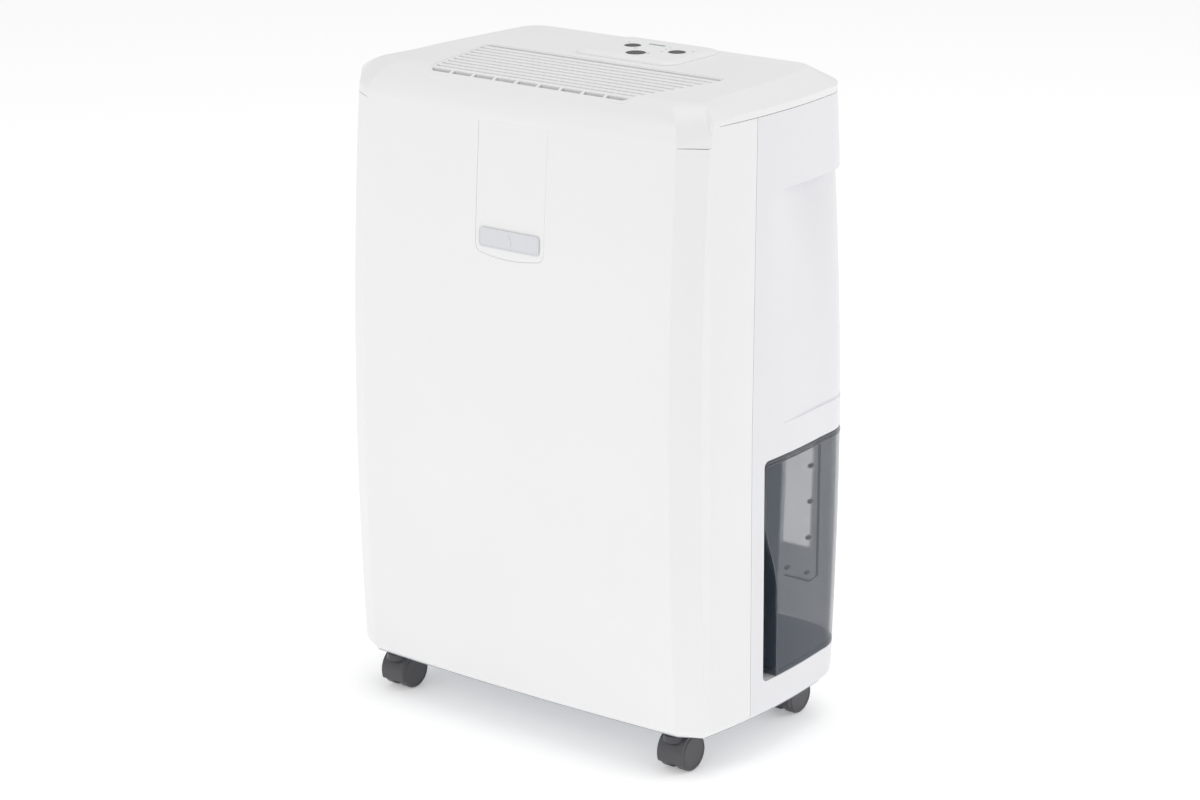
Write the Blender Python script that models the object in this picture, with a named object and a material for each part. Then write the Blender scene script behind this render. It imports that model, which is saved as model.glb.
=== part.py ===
"""Portable compressor dehumidifier on twin-wheel castors, built as an assembly.

Frame: the origin is on the floor under the middle of the cabinet, +Z points up, the front
faces -Y and the water tank slides out towards +X. Sizes are in millimetres here and are
turned into metres where a mesh is made.
"""
import math

import bmesh
import bpy
from mathutils import Matrix, Vector

MM = 0.001          # metres in a millimetre
GAP = 0.3           # clearance between two pieces that touch

# ---------------------------------------------------------------- driving dimensions
# Castors: the hood swivels on its stem, and each wheel turns on the cross axle
WHEEL_R = 15.0
WHEEL_WIDTH = 9.4
WHEEL_SIDES = 20
WHEEL_BEVEL = 1.6
WHEEL_INNER_X = 2.9
HOOD_HALF_WIDTH = 11.6
HOOD_WEB_HALF = 2.4
HOOD_CLEARANCE = 0.7
HOOD_THICKNESS = 1.6
CASTOR_TRAIL = 10.0
AXLE_R = 2.0
AXLE_PLAY = 0.35
STEM_R = 4.0
STEM_PLAY = 0.4
STEM_RISE = 9.0                  # how far the stem goes up into the base pan
CASTOR_HEADROOM = 4.0            # from the top of the wheels to the cabinet

# Cabinet
BODY_HALF_WIDTH = 179.0          # at the bottom, at mid-depth
SIDE_LEAN = 4.0                  # the sides lean in by this much up to their joint line
BODY_HALF_DEPTH = 105.5          # at the top and bottom edges
BODY_BOW = 9.3                   # the front and the back swell by this much at mid-height
BODY_BOTTOM_Z = 2 * WHEEL_R + CASTOR_HEADROOM
TOP_Z = 523.0                    # flat of the top cover
FRONT_SEAM_Z = TOP_Z - 29.0      # top cover's joint line across the front
SIDE_SEAM_Z = TOP_Z - 14.0       # the joint line steps up to here behind the front chamfer
SHOULDER_Z = TOP_Z - 8.5         # where the sloping side facets start
WALL = 2.8
FRONT_CROWN = 4.0                # how far the middle of the front stands before its edges
SIDE_CROWN = 7.0
CHAMFER_WIDTH = 20.4             # front corner chamfer, across
CHAMFER_DEPTH = 13.2             # front corner chamfer, along the depth
REAR_CORNER_R = 45.0
SPLIT_Y = -40.0                  # joint between the front cover and the rear housing
SEAM_STEP_Y = 19.5 - BODY_HALF_DEPTH     # where the joint line steps up

# Plateau of the top cover, seen from above
PLATEAU_FRONT_Y = 25.5 - BODY_HALF_DEPTH
PLATEAU_FRONT_HALF_WIDTH = BODY_HALF_WIDTH - 57.0
PLATEAU_CORNER_Y = 33.5 - BODY_HALF_DEPTH    # where the front corner meets the side crease
PLATEAU_CORNER_HALF_WIDTH = BODY_HALF_WIDTH - 32.0
PLATEAU_REAR_HALF_WIDTH = BODY_HALF_WIDTH - 42.0
PLATEAU_REAR_Y = BODY_HALF_DEPTH - 11.5
PLATEAU_REAR_R = 18.0
TOP_ROLL_STEPS = 6

# Water tank and its bay
TANK_BOTTOM_Z = BODY_BOTTOM_Z + 28.0
TANK_HEIGHT = 179.0
TANK_TOP_Z = TANK_BOTTOM_Z + TANK_HEIGHT
TANK_FRONT_Y = -24.5
TANK_INNER_X = 30.0
TANK_REAR_OPEN_X = BODY_HALF_WIDTH - 79.0    # the tank shows on the back from here outwards
TANK_WALL = 2.6
TANK_PLAY = 0.6
TANK_LID = 2.8
BAY_WALL = 2.5
BAY_PLAY = 3.0
NOTCH_DEPTH_X = 11.0
NOTCH_DEPTH_Y = 17.0
NOTCH_TOP_Z = TANK_TOP_Z - 55.0
NOTCH_FULL_Z = NOTCH_TOP_Z - 61.0

# Side grips
GRIP_BOTTOM_Z = TANK_TOP_Z + 25.0
GRIP_TOP_Z = SIDE_SEAM_Z - 60.0
GRIP_DEPTH = 16.0
GRIP_LEDGE = 1.5
GRIP_FRONT_Y = -21.0

# Air outlet
GRILLE_FRONT_Y = 16.0 - BODY_HALF_DEPTH
GRILLE_BACK_Y = 8.0
GRILLE_FRONT_HALF_WIDTH = PLATEAU_FRONT_HALF_WIDTH - 26.0
GRILLE_BACK_HALF_WIDTH = PLATEAU_CORNER_HALF_WIDTH - 30.0
GRILLE_CORNER_R = 7.0
GRILLE_SINK = 1.2
GRILLE_THICKNESS = 2.2
GRILLE_ROWS = 9
GRILLE_SLOT = 5.0
GRILLE_BAR = 3.4
GRILLE_BORDER = 5.0
GRILLE_COLUMNS = 4

# Control panel
PANEL_X = 6.0                    # the panel sits a little to the right of the middle
PANEL_HALF_WIDTH = 48.0
PANEL_FRONT_Y = GRILLE_BACK_Y + 10.0
PANEL_BACK_Y = PLATEAU_REAR_Y - 3.0
PANEL_HEIGHT = 3.2
PANEL_BEVEL = 8.0
PANEL_EDGE = 0.9                 # upright part of the panel's edge, under the bevel
PANEL_CORNER_R = 12.0
PANEL_LIP = 6.0                  # how far the panel overlaps the top cover around the board
BUTTONS = {                      # across, behind the panel's front edge, diameter
    "mode_button": (-11.0, 40.0, 13.0),
    "power_button": (8.5, 18.0, 15.5),
    "fan_speed_button": (33.0, 38.5, 13.5),
}
BUTTON_PROUD = 0.8
BUTTON_ROUND = 0.8               # rounded rim of a button
BUTTON_TRAVEL = 1.2
BUTTON_PLAY = 0.35
BOARD_THICKNESS = 1.6
BOARD_DROP = 4.0                 # from the top cover's flat down to the board
BOARD_PLAY = 1.5
LENS_HALF_WIDTH = 8.0
LENS_HALF_DEPTH = 1.6
LENS_X = 4.0
LENS_SETBACK = 21.0              # from the panel's rear edge

# Front label and badge
LABEL_HALF_WIDTH = 33.0
LABEL_BOTTOM_Z = FRONT_SEAM_Z - 101.0
LABEL_DIP = 4.0
LABEL_THICKNESS = 1.2
BADGE_HALF_WIDTH = 29.0
BADGE_BOTTOM_Z = LABEL_BOTTOM_Z + 3.5
BADGE_TOP_Z = BADGE_BOTTOM_Z + 15.0
BADGE_THICKNESS = 1.0

# Base pan
PAN_HEIGHT = 24.0
PAN_FLOOR = 3.0
PAN_WALL = 2.5

# Condensate path, from the drip tray down into the tank
SPOUT_X = TANK_INNER_X + 50.0
SPOUT_Y = 60.0
SPOUT_R = 6.0
SPOUT_BORE_R = 4.0
SPOUT_PLAY = 2.0
TRAY_FLOOR_Z = TANK_TOP_Z + 9.0
TRAY_HEIGHT = 12.0
TRAY_WALL = 2.0

# Tank float
FLOAT_PIVOT_X = TANK_INNER_X + 30.0
FLOAT_PIVOT_Z = TANK_TOP_Z - 17.0
FLOAT_Y = 10.0
FLOAT_ARM = 44.0
FLOAT_DROP_DEG = 35.0
FLOAT_HALF_LENGTH = 17.0
FLOAT_HALF_HEIGHT = 8.0
FLOAT_HALF_WIDTH = 12.0
FLOAT_PIN_R = 2.0
FLOAT_EAR = 2.0

# Rear intake door with its filter
DOOR_HALF_WIDTH = BODY_HALF_WIDTH - 61.0
DOOR_BOTTOM_Z = TANK_TOP_Z + 21.0
DOOR_TOP_Z = SIDE_SEAM_Z - 57.0
DOOR_GAP = 0.7
DOOR_HINGE_GAP = 1.3
DOOR_ROWS = 9
DOOR_COLUMNS = 3
DOOR_SLOT = 9.0
DOOR_BORDER = 11.0
FILTER_THICKNESS = 5.0
FILTER_BACK_Y = BODY_HALF_DEPTH - 2.0
FILTER_MARGIN = 6.0
FILTER_RIB = 4.0
FILTER_BORDER = 7.0

# Places of the castors
CASTOR_X = BODY_HALF_WIDTH - 39.0
CASTOR_FRONT_Y = 17.5 - BODY_HALF_DEPTH
CASTOR_REAR_Y = BODY_HALF_DEPTH - 47.5
STEM_TOP_Z = BODY_BOTTOM_Z + STEM_RISE

# Refrigeration and air path
COMPRESSOR_X = 84.0 - BODY_HALF_WIDTH
COMPRESSOR_Y = 5.0
COMPRESSOR_R = 52.0
COMPRESSOR_FOOT_R = 70.0
COMPRESSOR_FOOT_Z = BODY_BOTTOM_Z + 16.0
COMPRESSOR_TOP_Z = TANK_TOP_Z - 3.0
GROMMET_R = 9.0
GROMMET_CIRCLE_R = 58.0
ACCUMULATOR_X = TANK_INNER_X - 42.0
ACCUMULATOR_Y = 46.0
ACCUMULATOR_R = 19.0
ACCUMULATOR_TOP_Z = COMPRESSOR_TOP_Z - 35.0
ACCUMULATOR_HEIGHT = 119.0
COIL_HALF_WIDTH = BODY_HALF_WIDTH - 61.0
COIL_BOTTOM_Z = TRAY_FLOOR_Z + TRAY_HEIGHT + 4.0
COIL_TOP_Z = SIDE_SEAM_Z - 54.0
COIL_DEPTH = 28.0
COIL_SPACE = 6.0
EVAPORATOR_BACK_Y = FILTER_BACK_Y - 13.5
CONDENSER_BACK_Y = EVAPORATOR_BACK_Y - COIL_DEPTH - COIL_SPACE
COIL_FIN_ROWS = 9
PIPE_R = 4.0
FAN_R = 70.0
FAN_BLADES = 11
SCROLL_R = 90.0
SCROLL_FRONT_Y = 25.5 - BODY_HALF_DEPTH
SCROLL_BACK_Y = CONDENSER_BACK_Y - COIL_DEPTH - 20.0
SCROLL_TOP_Z = TOP_Z - 23.0
SCROLL_WALL = 2.5
SCROLL_INTAKE_R = 52.0
FAN_Z = SCROLL_TOP_Z - 135.0
MOTOR_R = 30.0
MOTOR_LENGTH = 34.0

# Rear screws and cord gland
SCREW_HEAD_R = 4.0
SCREW_R = 1.6
SCREW_LENGTH = 11.0
SCREW_X = BODY_HALF_WIDTH - 69.0
UPPER_SCREW_Z = FRONT_SEAM_Z - 12.0
LOWER_SCREW_Z = BODY_BOTTOM_Z + 14.0
SCREW_PLACES = [(-SCREW_X, UPPER_SCREW_Z), (SCREW_X, UPPER_SCREW_Z),
                (-SCREW_X, LOWER_SCREW_Z), (0.0, LOWER_SCREW_Z), (SCREW_X, LOWER_SCREW_Z)]
GLAND_X = -SCREW_X
GLAND_Z = BODY_BOTTOM_Z + 50.0
GLAND_R = 8.0
GLAND_BORE_R = 3.6
GLAND_FLANGE_R = 11.0

WHITE = "F0F0F1"
COOL_WHITE = "E6E6EA"


# ---------------------------------------------------------------- making pieces
def linear(hex_colour):
    """Turn an sRGB hex colour into linear values with alpha 1."""
    values = []
    for start in (0, 2, 4):
        c = int(hex_colour[start:start + 2], 16) / 255.0
        values.append(c / 12.92 if c <= 0.04045 else ((c + 0.055) / 1.055) ** 2.4)
    return (*values, 1.0)


def material(name, hex_colour, roughness, metallic=0.0, alpha=1.0):
    mat = bpy.data.materials.new(name)
    mat.use_nodes = True
    shader = mat.node_tree.nodes["Principled BSDF"]
    shader.inputs["Base Color"].default_value = linear(hex_colour)
    shader.inputs["Roughness"].default_value = roughness
    shader.inputs["Metallic"].default_value = metallic
    shader.inputs["Alpha"].default_value = alpha
    mat.diffuse_color = linear(hex_colour)
    return mat


def new_object(name, bm, mat, origin=(0.0, 0.0, 0.0)):
    """Make a named object from a bmesh in millimetres, with its origin at a given point."""
    origin = Vector(origin)
    bmesh.ops.triangulate(bm, faces=[f for f in bm.faces if len(f.verts) > 4])
    bmesh.ops.recalc_face_normals(bm, faces=bm.faces)
    bmesh.ops.transform(bm, matrix=Matrix.Scale(MM, 4) @ Matrix.Translation(-origin),
                        verts=bm.verts)
    mesh = bpy.data.meshes.new(name)
    bm.to_mesh(mesh)
    bm.free()
    mesh.shade_smooth()
    mesh.set_sharp_from_angle(angle=math.radians(32.0))
    mesh.materials.append(mat)
    piece = bpy.data.objects.new(name, mesh)
    bpy.context.scene.collection.objects.link(piece)
    piece.location = origin * MM
    return piece


def boolean(bm, others, operation):
    """Cut, join or intersect a bmesh with others, all in millimetres."""
    names = []
    for index, shape in enumerate([bm, *others]):
        bmesh.ops.triangulate(shape, faces=[f for f in shape.faces if len(f.verts) > 4])
        bmesh.ops.recalc_face_normals(shape, faces=shape.faces)
        mesh = bpy.data.meshes.new("working_%d" % index)
        shape.to_mesh(mesh)
        shape.free()
        helper = bpy.data.objects.new("working_%d" % index, mesh)
        bpy.context.scene.collection.objects.link(helper)
        names.append(helper)
    for helper in names[1:]:
        step = names[0].modifiers.new("step", "BOOLEAN")
        step.operation = operation
        step.solver = "EXACT"
        step.object = helper
    graph = bpy.context.evaluated_depsgraph_get()
    result = bmesh.new()
    result.from_mesh(names[0].evaluated_get(graph).to_mesh())
    for helper in names:
        mesh = helper.data
        bpy.data.objects.remove(helper)
        bpy.data.meshes.remove(mesh)
    bmesh.ops.remove_doubles(result, verts=result.verts, dist=1e-4)
    bmesh.ops.dissolve_degenerate(result, edges=result.edges, dist=1e-4)
    return result


def cut(bm, *others):
    return boolean(bm, others, "DIFFERENCE")


def join(bm, *others):
    return boolean(bm, others, "UNION")


def common(bm, *others):
    return boolean(bm, others, "INTERSECT")


def box(low, high):
    bm = bmesh.new()
    bmesh.ops.create_cube(bm, size=1.0)
    low, high = Vector(low), Vector(high)
    size = high - low
    grow = Matrix.Diagonal((*size, 1.0))
    bmesh.ops.transform(bm, matrix=Matrix.Translation((low + high) / 2) @ grow, verts=bm.verts)
    return bm


def boxes(pairs):
    """Several boxes that don't touch, as one bmesh."""
    bm = bmesh.new()
    for low, high in pairs:
        low, high = Vector(low), Vector(high)
        place = Matrix.Translation((low + high) / 2) @ Matrix.Diagonal((*(high - low), 1.0))
        bmesh.ops.create_cube(bm, size=1.0, matrix=place)
    return bm


def loft(rings, cap_start=True, cap_end=True):
    """Skin a list of closed rings that have the same number of points."""
    bm = bmesh.new()
    loops = [[bm.verts.new(p) for p in ring] for ring in rings]
    count = len(loops[0])
    for lower, upper in zip(loops, loops[1:]):
        for i in range(count):
            j = (i + 1) % count
            bm.faces.new((lower[i], lower[j], upper[j], upper[i]))
    if cap_start:
        bm.faces.new(loops[0])
    if cap_end:
        bm.faces.new(loops[-1])
    return bm


def turned(profile, sides, centre=(0.0, 0.0, 0.0), axis="Z", phase=0.0):
    """Turn a closed profile of (radius, height) points round an axis."""
    bm = bmesh.new()
    turn = {"Z": Matrix.Identity(4), "X": Matrix.Rotation(math.radians(90), 4, "Y"),
            "Y": Matrix.Rotation(math.radians(-90), 4, "X")}[axis]
    place = Matrix.Translation(Vector(centre)) @ turn
    rings = []
    for radius, height in profile:
        if radius == 0.0:
            rings.append([bm.verts.new(place @ Vector((0.0, 0.0, height)))])
            continue
        ring = []
        for i in range(sides):
            angle = phase + 2.0 * math.pi * i / sides
            point = Vector((radius * math.cos(angle), radius * math.sin(angle), height))
            ring.append(bm.verts.new(place @ point))
        rings.append(ring)
    closed = profile[0][0] != 0.0
    pairs = list(zip(rings, rings[1:] + rings[:1])) if closed else list(zip(rings, rings[1:]))
    for first, second in pairs:
        for i in range(sides):
            j = (i + 1) % sides
            if len(first) == 1:
                bm.faces.new((first[0], second[i], second[j]))
            elif len(second) == 1:
                bm.faces.new((first[i], first[j], second[0]))
            else:
                bm.faces.new((first[i], first[j], second[j], second[i]))
    return bm


def rod(radius, start, end, sides=16, centre=(0.0, 0.0, 0.0), axis="Z", phase=0.0):
    """A plain round bar between two heights on an axis."""
    profile = [(0.0, start), (radius, start), (radius, end), (0.0, end)]
    return turned(profile, sides, centre, axis, phase)


def prism(outline, low, high, axis="Z"):
    """Extrude a flat outline: axis Z takes (x, y) points, axis Y (x, z), axis X (y, z)."""
    place = {"Z": lambda a, b, h: (a, b, h), "Y": lambda a, b, h: (a, h, b),
             "X": lambda a, b, h: (h, a, b)}[axis]
    return loft([[place(a, b, low) for a, b in outline], [place(a, b, high) for a, b in outline]])


def rounded(corners, radius, steps=3):
    """Round the corners of a convex outline."""
    points = []
    count = len(corners)
    for i in range(count):
        here = Vector(corners[i])
        before = (Vector(corners[i - 1]) - here).normalized()
        after = (Vector(corners[(i + 1) % count]) - here).normalized()
        half = before.angle(after) / 2
        reach = radius / math.tan(half)
        centre = here + (before + after).normalized() * (radius / math.sin(half))
        start, end = here + before * reach - centre, here + after * reach - centre
        first = math.atan2(start.y, start.x)
        sweep = (math.atan2(end.y, end.x) - first + math.pi) % (2 * math.pi) - math.pi
        for k in range(steps + 1):
            angle = first + sweep * k / steps
            points.append((centre.x + radius * math.cos(angle),
                           centre.y + radius * math.sin(angle)))
    return points


def rectangle(half_x, low_y, high_y, radius, steps=3):
    corners = [(-half_x, low_y), (half_x, low_y), (half_x, high_y), (-half_x, high_y)]
    return rounded(corners, radius, steps)


def pipe(points, radius, sides=8, steps=3):
    """A round tube of a smooth curve through the points, with closed ends."""
    route = []
    ends = [2 * Vector(points[0]) - Vector(points[1]),
            *map(Vector, points), 2 * Vector(points[-1]) - Vector(points[-2])]
    for a, b, c, d in zip(ends, ends[1:], ends[2:], ends[3:]):
        for k in range(steps):
            t = k / steps
            route.append(0.5 * (2 * b + (c - a) * t + (2 * a - 5 * b + 4 * c - d) * t ** 2
                                + (3 * b - a - 3 * c + d) * t ** 3))
    route.append(Vector(points[-1]))
    rings = []
    side = None
    for i, point in enumerate(route):
        ahead = route[min(i + 1, len(route) - 1)] - route[max(i - 1, 0)]
        ahead.normalize()
        if side is None:
            side = ahead.orthogonal()
        side = (side - ahead * side.dot(ahead)).normalized()
        up = ahead.cross(side)
        angles = [2 * math.pi * k / sides for k in range(sides)]
        rings.append([point + radius * (math.cos(w) * side + math.sin(w) * up) for w in angles])
    return loft(rings)


# ---------------------------------------------------------------- cabinet form
def bow(z):
    """How far the front and the back swell out at a height."""
    middle = (BODY_BOTTOM_Z + FRONT_SEAM_Z) / 2
    half = (FRONT_SEAM_Z - BODY_BOTTOM_Z) / 2
    return BODY_BOW * (1.0 - ((z - middle) / half) ** 2)


def half_width(z):
    share = (z - BODY_BOTTOM_Z) / (SIDE_SEAM_Z - BODY_BOTTOM_Z)
    return BODY_HALF_WIDTH - SIDE_LEAN * share


def grip_depth(z):
    """Depth of the side grip at a height, deepest under its top edge."""
    if not GRIP_BOTTOM_Z < z < GRIP_TOP_Z:
        return 0.0
    share = (z - GRIP_BOTTOM_Z) / (GRIP_TOP_Z - GRIP_BOTTOM_Z)
    return GRIP_LEDGE + (GRIP_DEPTH - GRIP_LEDGE) * share ** 1.6


SIDE_STEPS = [(-60.0, 0.0), (GRIP_FRONT_Y, 0.0), (0.0, 0.55), (20.0, 0.85), (40.0, 1.0)]
CORNER_SHARES = [0.8, 0.5, 0.2, 0.0, 0.0]


def half_outline(z, grip=None):
    """The cabinet's outline on the +X side at a height, from the front centre to the back."""
    depth = grip_depth(z) if grip is None else grip
    front = -(BODY_HALF_DEPTH + bow(z))
    back = BODY_HALF_DEPTH + bow(z)
    wide = half_width(z)
    chamfer_x = wide - SIDE_CROWN
    inner_x = chamfer_x - CHAMFER_WIDTH
    points = []
    for share in (0.0, 1 / 3, 2 / 3, 1.0):
        points.append((inner_x * share, front + FRONT_CROWN * share ** 2))
    points.append((chamfer_x, front + FRONT_CROWN + CHAMFER_DEPTH))
    reach = BODY_HALF_DEPTH - FRONT_CROWN - CHAMFER_DEPTH

    def side_x(y):
        return wide - SIDE_CROWN * (y / reach) ** 2

    for y, weight in SIDE_STEPS:
        points.append((side_x(y) - depth * weight, y))
    corner_y = back - REAR_CORNER_R
    corner_x = side_x(BODY_HALF_DEPTH - REAR_CORNER_R) - REAR_CORNER_R
    steps = len(CORNER_SHARES) - 1
    for k, weight in enumerate(CORNER_SHARES):
        angle = math.pi / 2 * k / steps
        radius = REAR_CORNER_R - depth * weight
        points.append((corner_x + radius * math.cos(angle),
                       corner_y + REAR_CORNER_R * math.sin(angle)))
    points += [(corner_x / 2, back), (0.0, back)]
    return points


def mirrored(half):
    """Close a +X half outline into a full loop."""
    return half + [(-x, *rest) for x, *rest in reversed(half[1:-1])]


def inset(outline, distance):
    """Move a closed outline inwards by the same distance all round."""
    count = len(outline)
    result = []
    for i in range(count):
        a, b, c = (Vector(outline[k % count][:2]) for k in (i - 1, i, i + 1))
        first = (b - a).normalized()
        second = (c - b).normalized()
        inward = Vector((-first.y, first.x)) + Vector((-second.y, second.x))
        inward.normalize()
        share = max(0.5, inward.dot(Vector((-first.y, first.x))))
        result.append(tuple(b + inward * distance / share))
    return result


def body_levels(wall=0.0):
    """Heights of the cabinet's rings as (height, grip depth)."""
    levels = [(BODY_BOTTOM_Z, None)]
    levels += [(TANK_BOTTOM_Z + TANK_HEIGHT * share, None) for share in (0.0, 0.25, 0.5, 0.75, 1.0)]
    levels.append((GRIP_BOTTOM_Z - 0.5 - wall, 0.0))
    levels.append((GRIP_BOTTOM_Z + 0.5, None))
    span = GRIP_TOP_Z - GRIP_BOTTOM_Z
    levels += [(GRIP_BOTTOM_Z + span * share, None) for share in (0.25, 0.5, 0.7, 0.86)]
    levels.append((GRIP_TOP_Z + wall - 0.4, grip_depth(GRIP_TOP_Z - 0.4)))
    levels.append((GRIP_TOP_Z + wall, 0.0))
    levels += [(FRONT_SEAM_Z, None), (SIDE_SEAM_Z, None)]
    return levels


def body_rings(distance, wall=0.0):
    rings = []
    for z, grip in body_levels(wall):
        outline = inset(mirrored(half_outline(z, grip)), distance)
        rings.append([(x, y, z) for x, y in outline])
    return rings


def lower_body(distance=0.0):
    """The part of the cabinet's form below the grips, on the same rings as the shell."""
    rings = []
    for z, grip in body_levels()[:7]:
        outline = inset(mirrored(half_outline(z, 0.0)), distance)
        rings.append([(x, y, z) for x, y in outline])
    return loft(rings)


def body_tube():
    """The cabinet's wall all round, open at the top and the bottom."""
    outer = body_rings(0.0)
    inner = body_rings(WALL, WALL)
    return loft(outer + inner[::-1] + [outer[0]], False, False)


def plateau_outline():
    """Targets on the top cover's flat for each point of the half outline."""
    points = []
    for share in (0.0, 1 / 3, 2 / 3):
        points.append((PLATEAU_FRONT_HALF_WIDTH * share, PLATEAU_FRONT_Y))
    points.append((PLATEAU_FRONT_HALF_WIDTH, PLATEAU_FRONT_Y + 2.0))
    corner_y = PLATEAU_REAR_Y - PLATEAU_REAR_R
    taper = PLATEAU_CORNER_HALF_WIDTH - PLATEAU_REAR_HALF_WIDTH
    run = PLATEAU_REAR_Y - PLATEAU_CORNER_Y
    for y in (PLATEAU_CORNER_Y, -50.0, GRIP_FRONT_Y, 0.0, 20.0, 40.0):
        share = (y - PLATEAU_CORNER_Y) / run
        points.append((PLATEAU_CORNER_HALF_WIDTH - taper * share ** 2, y))
    steps = len(CORNER_SHARES) - 1
    for k in range(steps + 1):
        angle = math.pi / 2 * k / steps
        points.append((PLATEAU_REAR_HALF_WIDTH - PLATEAU_REAR_R * (1 - math.cos(angle)),
                       corner_y + PLATEAU_REAR_R * math.sin(angle)))
    points += [(PLATEAU_REAR_HALF_WIDTH / 2, PLATEAU_REAR_Y), (0.0, PLATEAU_REAR_Y)]
    return points


def cap_rings(distance):
    """Rings of the top cover: a quarter ellipse over the front, flat facets elsewhere."""
    drop = distance
    base = inset(mirrored(half_outline(FRONT_SEAM_Z, 0.0)), distance)
    side = inset(mirrored(half_outline(SIDE_SEAM_Z, 0.0)), distance)
    target = inset(mirrored(plateau_outline()), distance * 0.4)
    blend = [1.0, 1.0, 1.0, 0.45] + [0.0] * (len(plateau_outline()) - 4)
    blend = blend + blend[1:-1][::-1]
    rings = [[(x, y, FRONT_SEAM_Z - 20.0) for x, y in base]]
    for k in range(1, TOP_ROLL_STEPS + 1):
        facet = (k - 1) / (TOP_ROLL_STEPS - 1)
        angle = math.pi / 2 * k / TOP_ROLL_STEPS
        ring = []
        for front, start, end, share in zip(base, side, target, blend):
            roll = 1.0 - math.cos(angle)
            roll_z = FRONT_SEAM_Z + (TOP_Z - drop - FRONT_SEAM_Z) * math.sin(angle)
            slope_z = SHOULDER_Z - drop * 0.6 + (TOP_Z - SHOULDER_Z - drop * 0.4) * facet
            roll_at = Vector(front).lerp(Vector(end), roll)
            slope_at = Vector(start).lerp(Vector(end), facet)
            at = slope_at.lerp(roll_at, share)
            ring.append((at.x, at.y, slope_z + (roll_z - slope_z) * share))
        rings.append(ring)
    return rings


def cap_height(y):
    """Height of the top cover's outside along its middle."""
    if y >= PLATEAU_FRONT_Y:
        return TOP_Z
    reach = PLATEAU_FRONT_Y + BODY_HALF_DEPTH + bow(FRONT_SEAM_Z)
    share = min(1.0, (PLATEAU_FRONT_Y - y) / reach)
    return FRONT_SEAM_Z + (TOP_Z - FRONT_SEAM_Z) * math.sqrt(1.0 - share ** 2)


FAR = 400.0     # further out than any piece, for cutters


def facing_split(front):
    """A block that takes away everything behind, or before, the cabinet's split."""
    if front:
        return box((-FAR, SPLIT_Y - GAP / 2, -FAR), (FAR, FAR, 2 * FAR))
    return box((-FAR, -FAR, -FAR), (FAR, SPLIT_Y + GAP / 2, 2 * FAR))


def label_outline(grow):
    """The front label's outline, with a lower edge that dips in the middle."""
    half = LABEL_HALF_WIDTH + grow
    low = LABEL_BOTTOM_Z - grow
    points = [(half, FRONT_SEAM_Z + 5.0), (-half, FRONT_SEAM_Z + 5.0)]
    steps = 8
    for k in range(steps + 1):
        share = -1.0 + 2.0 * k / steps
        points.append((half * share, low - LABEL_DIP * (1.0 - share ** 2)))
    return points


def front_skin(outline, out, depth):
    """A plate that follows the front of the cabinet, between two offsets of its surface."""
    plate = common(prism(outline, -FAR, -60.0, "Y"), plain_front(-out))
    return cut(plate, plain_front(depth))


def plain_front(distance):
    """The cabinet's form on the shell's own rings, without grips, as a solid."""
    rings = []
    for z, _ in body_levels():
        outline = inset(mirrored(half_outline(z, 0.0)), distance)
        rings.append([(x, y, z) for x, y in outline])
    return loft(rings)


# ---------------------------------------------------------------- cabinet pieces
def make_front_cover(white):
    shell = cut(body_tube(), facing_split(True))
    step = box((-FAR, -FAR, FRONT_SEAM_Z - GAP / 2), (FAR, SEAM_STEP_Y + GAP / 2, FAR * 2))
    shell = cut(shell, step)
    pocket = front_skin(label_outline(GAP), 1.0, LABEL_THICKNESS + GAP)
    new_object("front_cover", cut(shell, pocket), white)


def make_label_and_badge(white, badge):
    label = front_skin(label_outline(0.0), 0.0, LABEL_THICKNESS)
    label = cut(label, box((-FAR, -FAR, FRONT_SEAM_Z - GAP), (FAR, FAR, FAR * 2)))
    new_object("front_label_panel", label, white)
    middle = (BADGE_BOTTOM_Z + BADGE_TOP_Z) / 2
    half = (BADGE_TOP_Z - BADGE_BOTTOM_Z) / 2
    outline = [(x, z + middle) for x, z in rectangle(BADGE_HALF_WIDTH, -half, half, 3.0, 2)]
    new_object("badge_plate", front_skin(outline, GAP + BADGE_THICKNESS, -GAP), badge)


def door_slots():
    """Cutters for the air slots in the rear intake door."""
    pairs = []
    low = DOOR_BOTTOM_Z + DOOR_BORDER
    pitch = (DOOR_TOP_Z - DOOR_BORDER - low) / DOOR_ROWS
    width = 2 * (DOOR_HALF_WIDTH - DOOR_BORDER)
    column = width / DOOR_COLUMNS
    for row in range(DOOR_ROWS):
        z = low + pitch * (row + 0.5)
        for k in range(DOOR_COLUMNS):
            x = -width / 2 + column * (k + 0.5)
            half = column / 2 - DOOR_BORDER / 3
            pairs.append(((x - half, 80.0, z - DOOR_SLOT / 2), (x + half, 140.0, z + DOOR_SLOT / 2)))
    return boxes(pairs)


def make_rear_housing(white):
    shell = cut(body_tube(), facing_split(False))
    tank_hole = box((TANK_REAR_OPEN_X, TANK_FRONT_Y, TANK_BOTTOM_Z), (FAR, FAR, TANK_TOP_Z))
    door_hole = box((-DOOR_HALF_WIDTH - DOOR_GAP, 60.0, DOOR_BOTTOM_Z - DOOR_HINGE_GAP),
                    (DOOR_HALF_WIDTH + DOOR_GAP, FAR, DOOR_TOP_Z + DOOR_GAP))
    gland_hole = rod(GLAND_R + GAP, 60.0, FAR, 14, (GLAND_X, 0.0, GLAND_Z), "Y")
    shell = cut(shell, tank_hole, door_hole, gland_hole)
    for x, z in SCREW_PLACES:
        shell = cut(shell, rod(SCREW_R + 0.5, 60.0, FAR, 10, (x, 0.0, z), "Y"))
    new_object("rear_housing", shell, white)


def rear_surface(z):
    """Depth of the cabinet's back face at a height, on its flat middle."""
    return BODY_HALF_DEPTH + bow(z)


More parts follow.
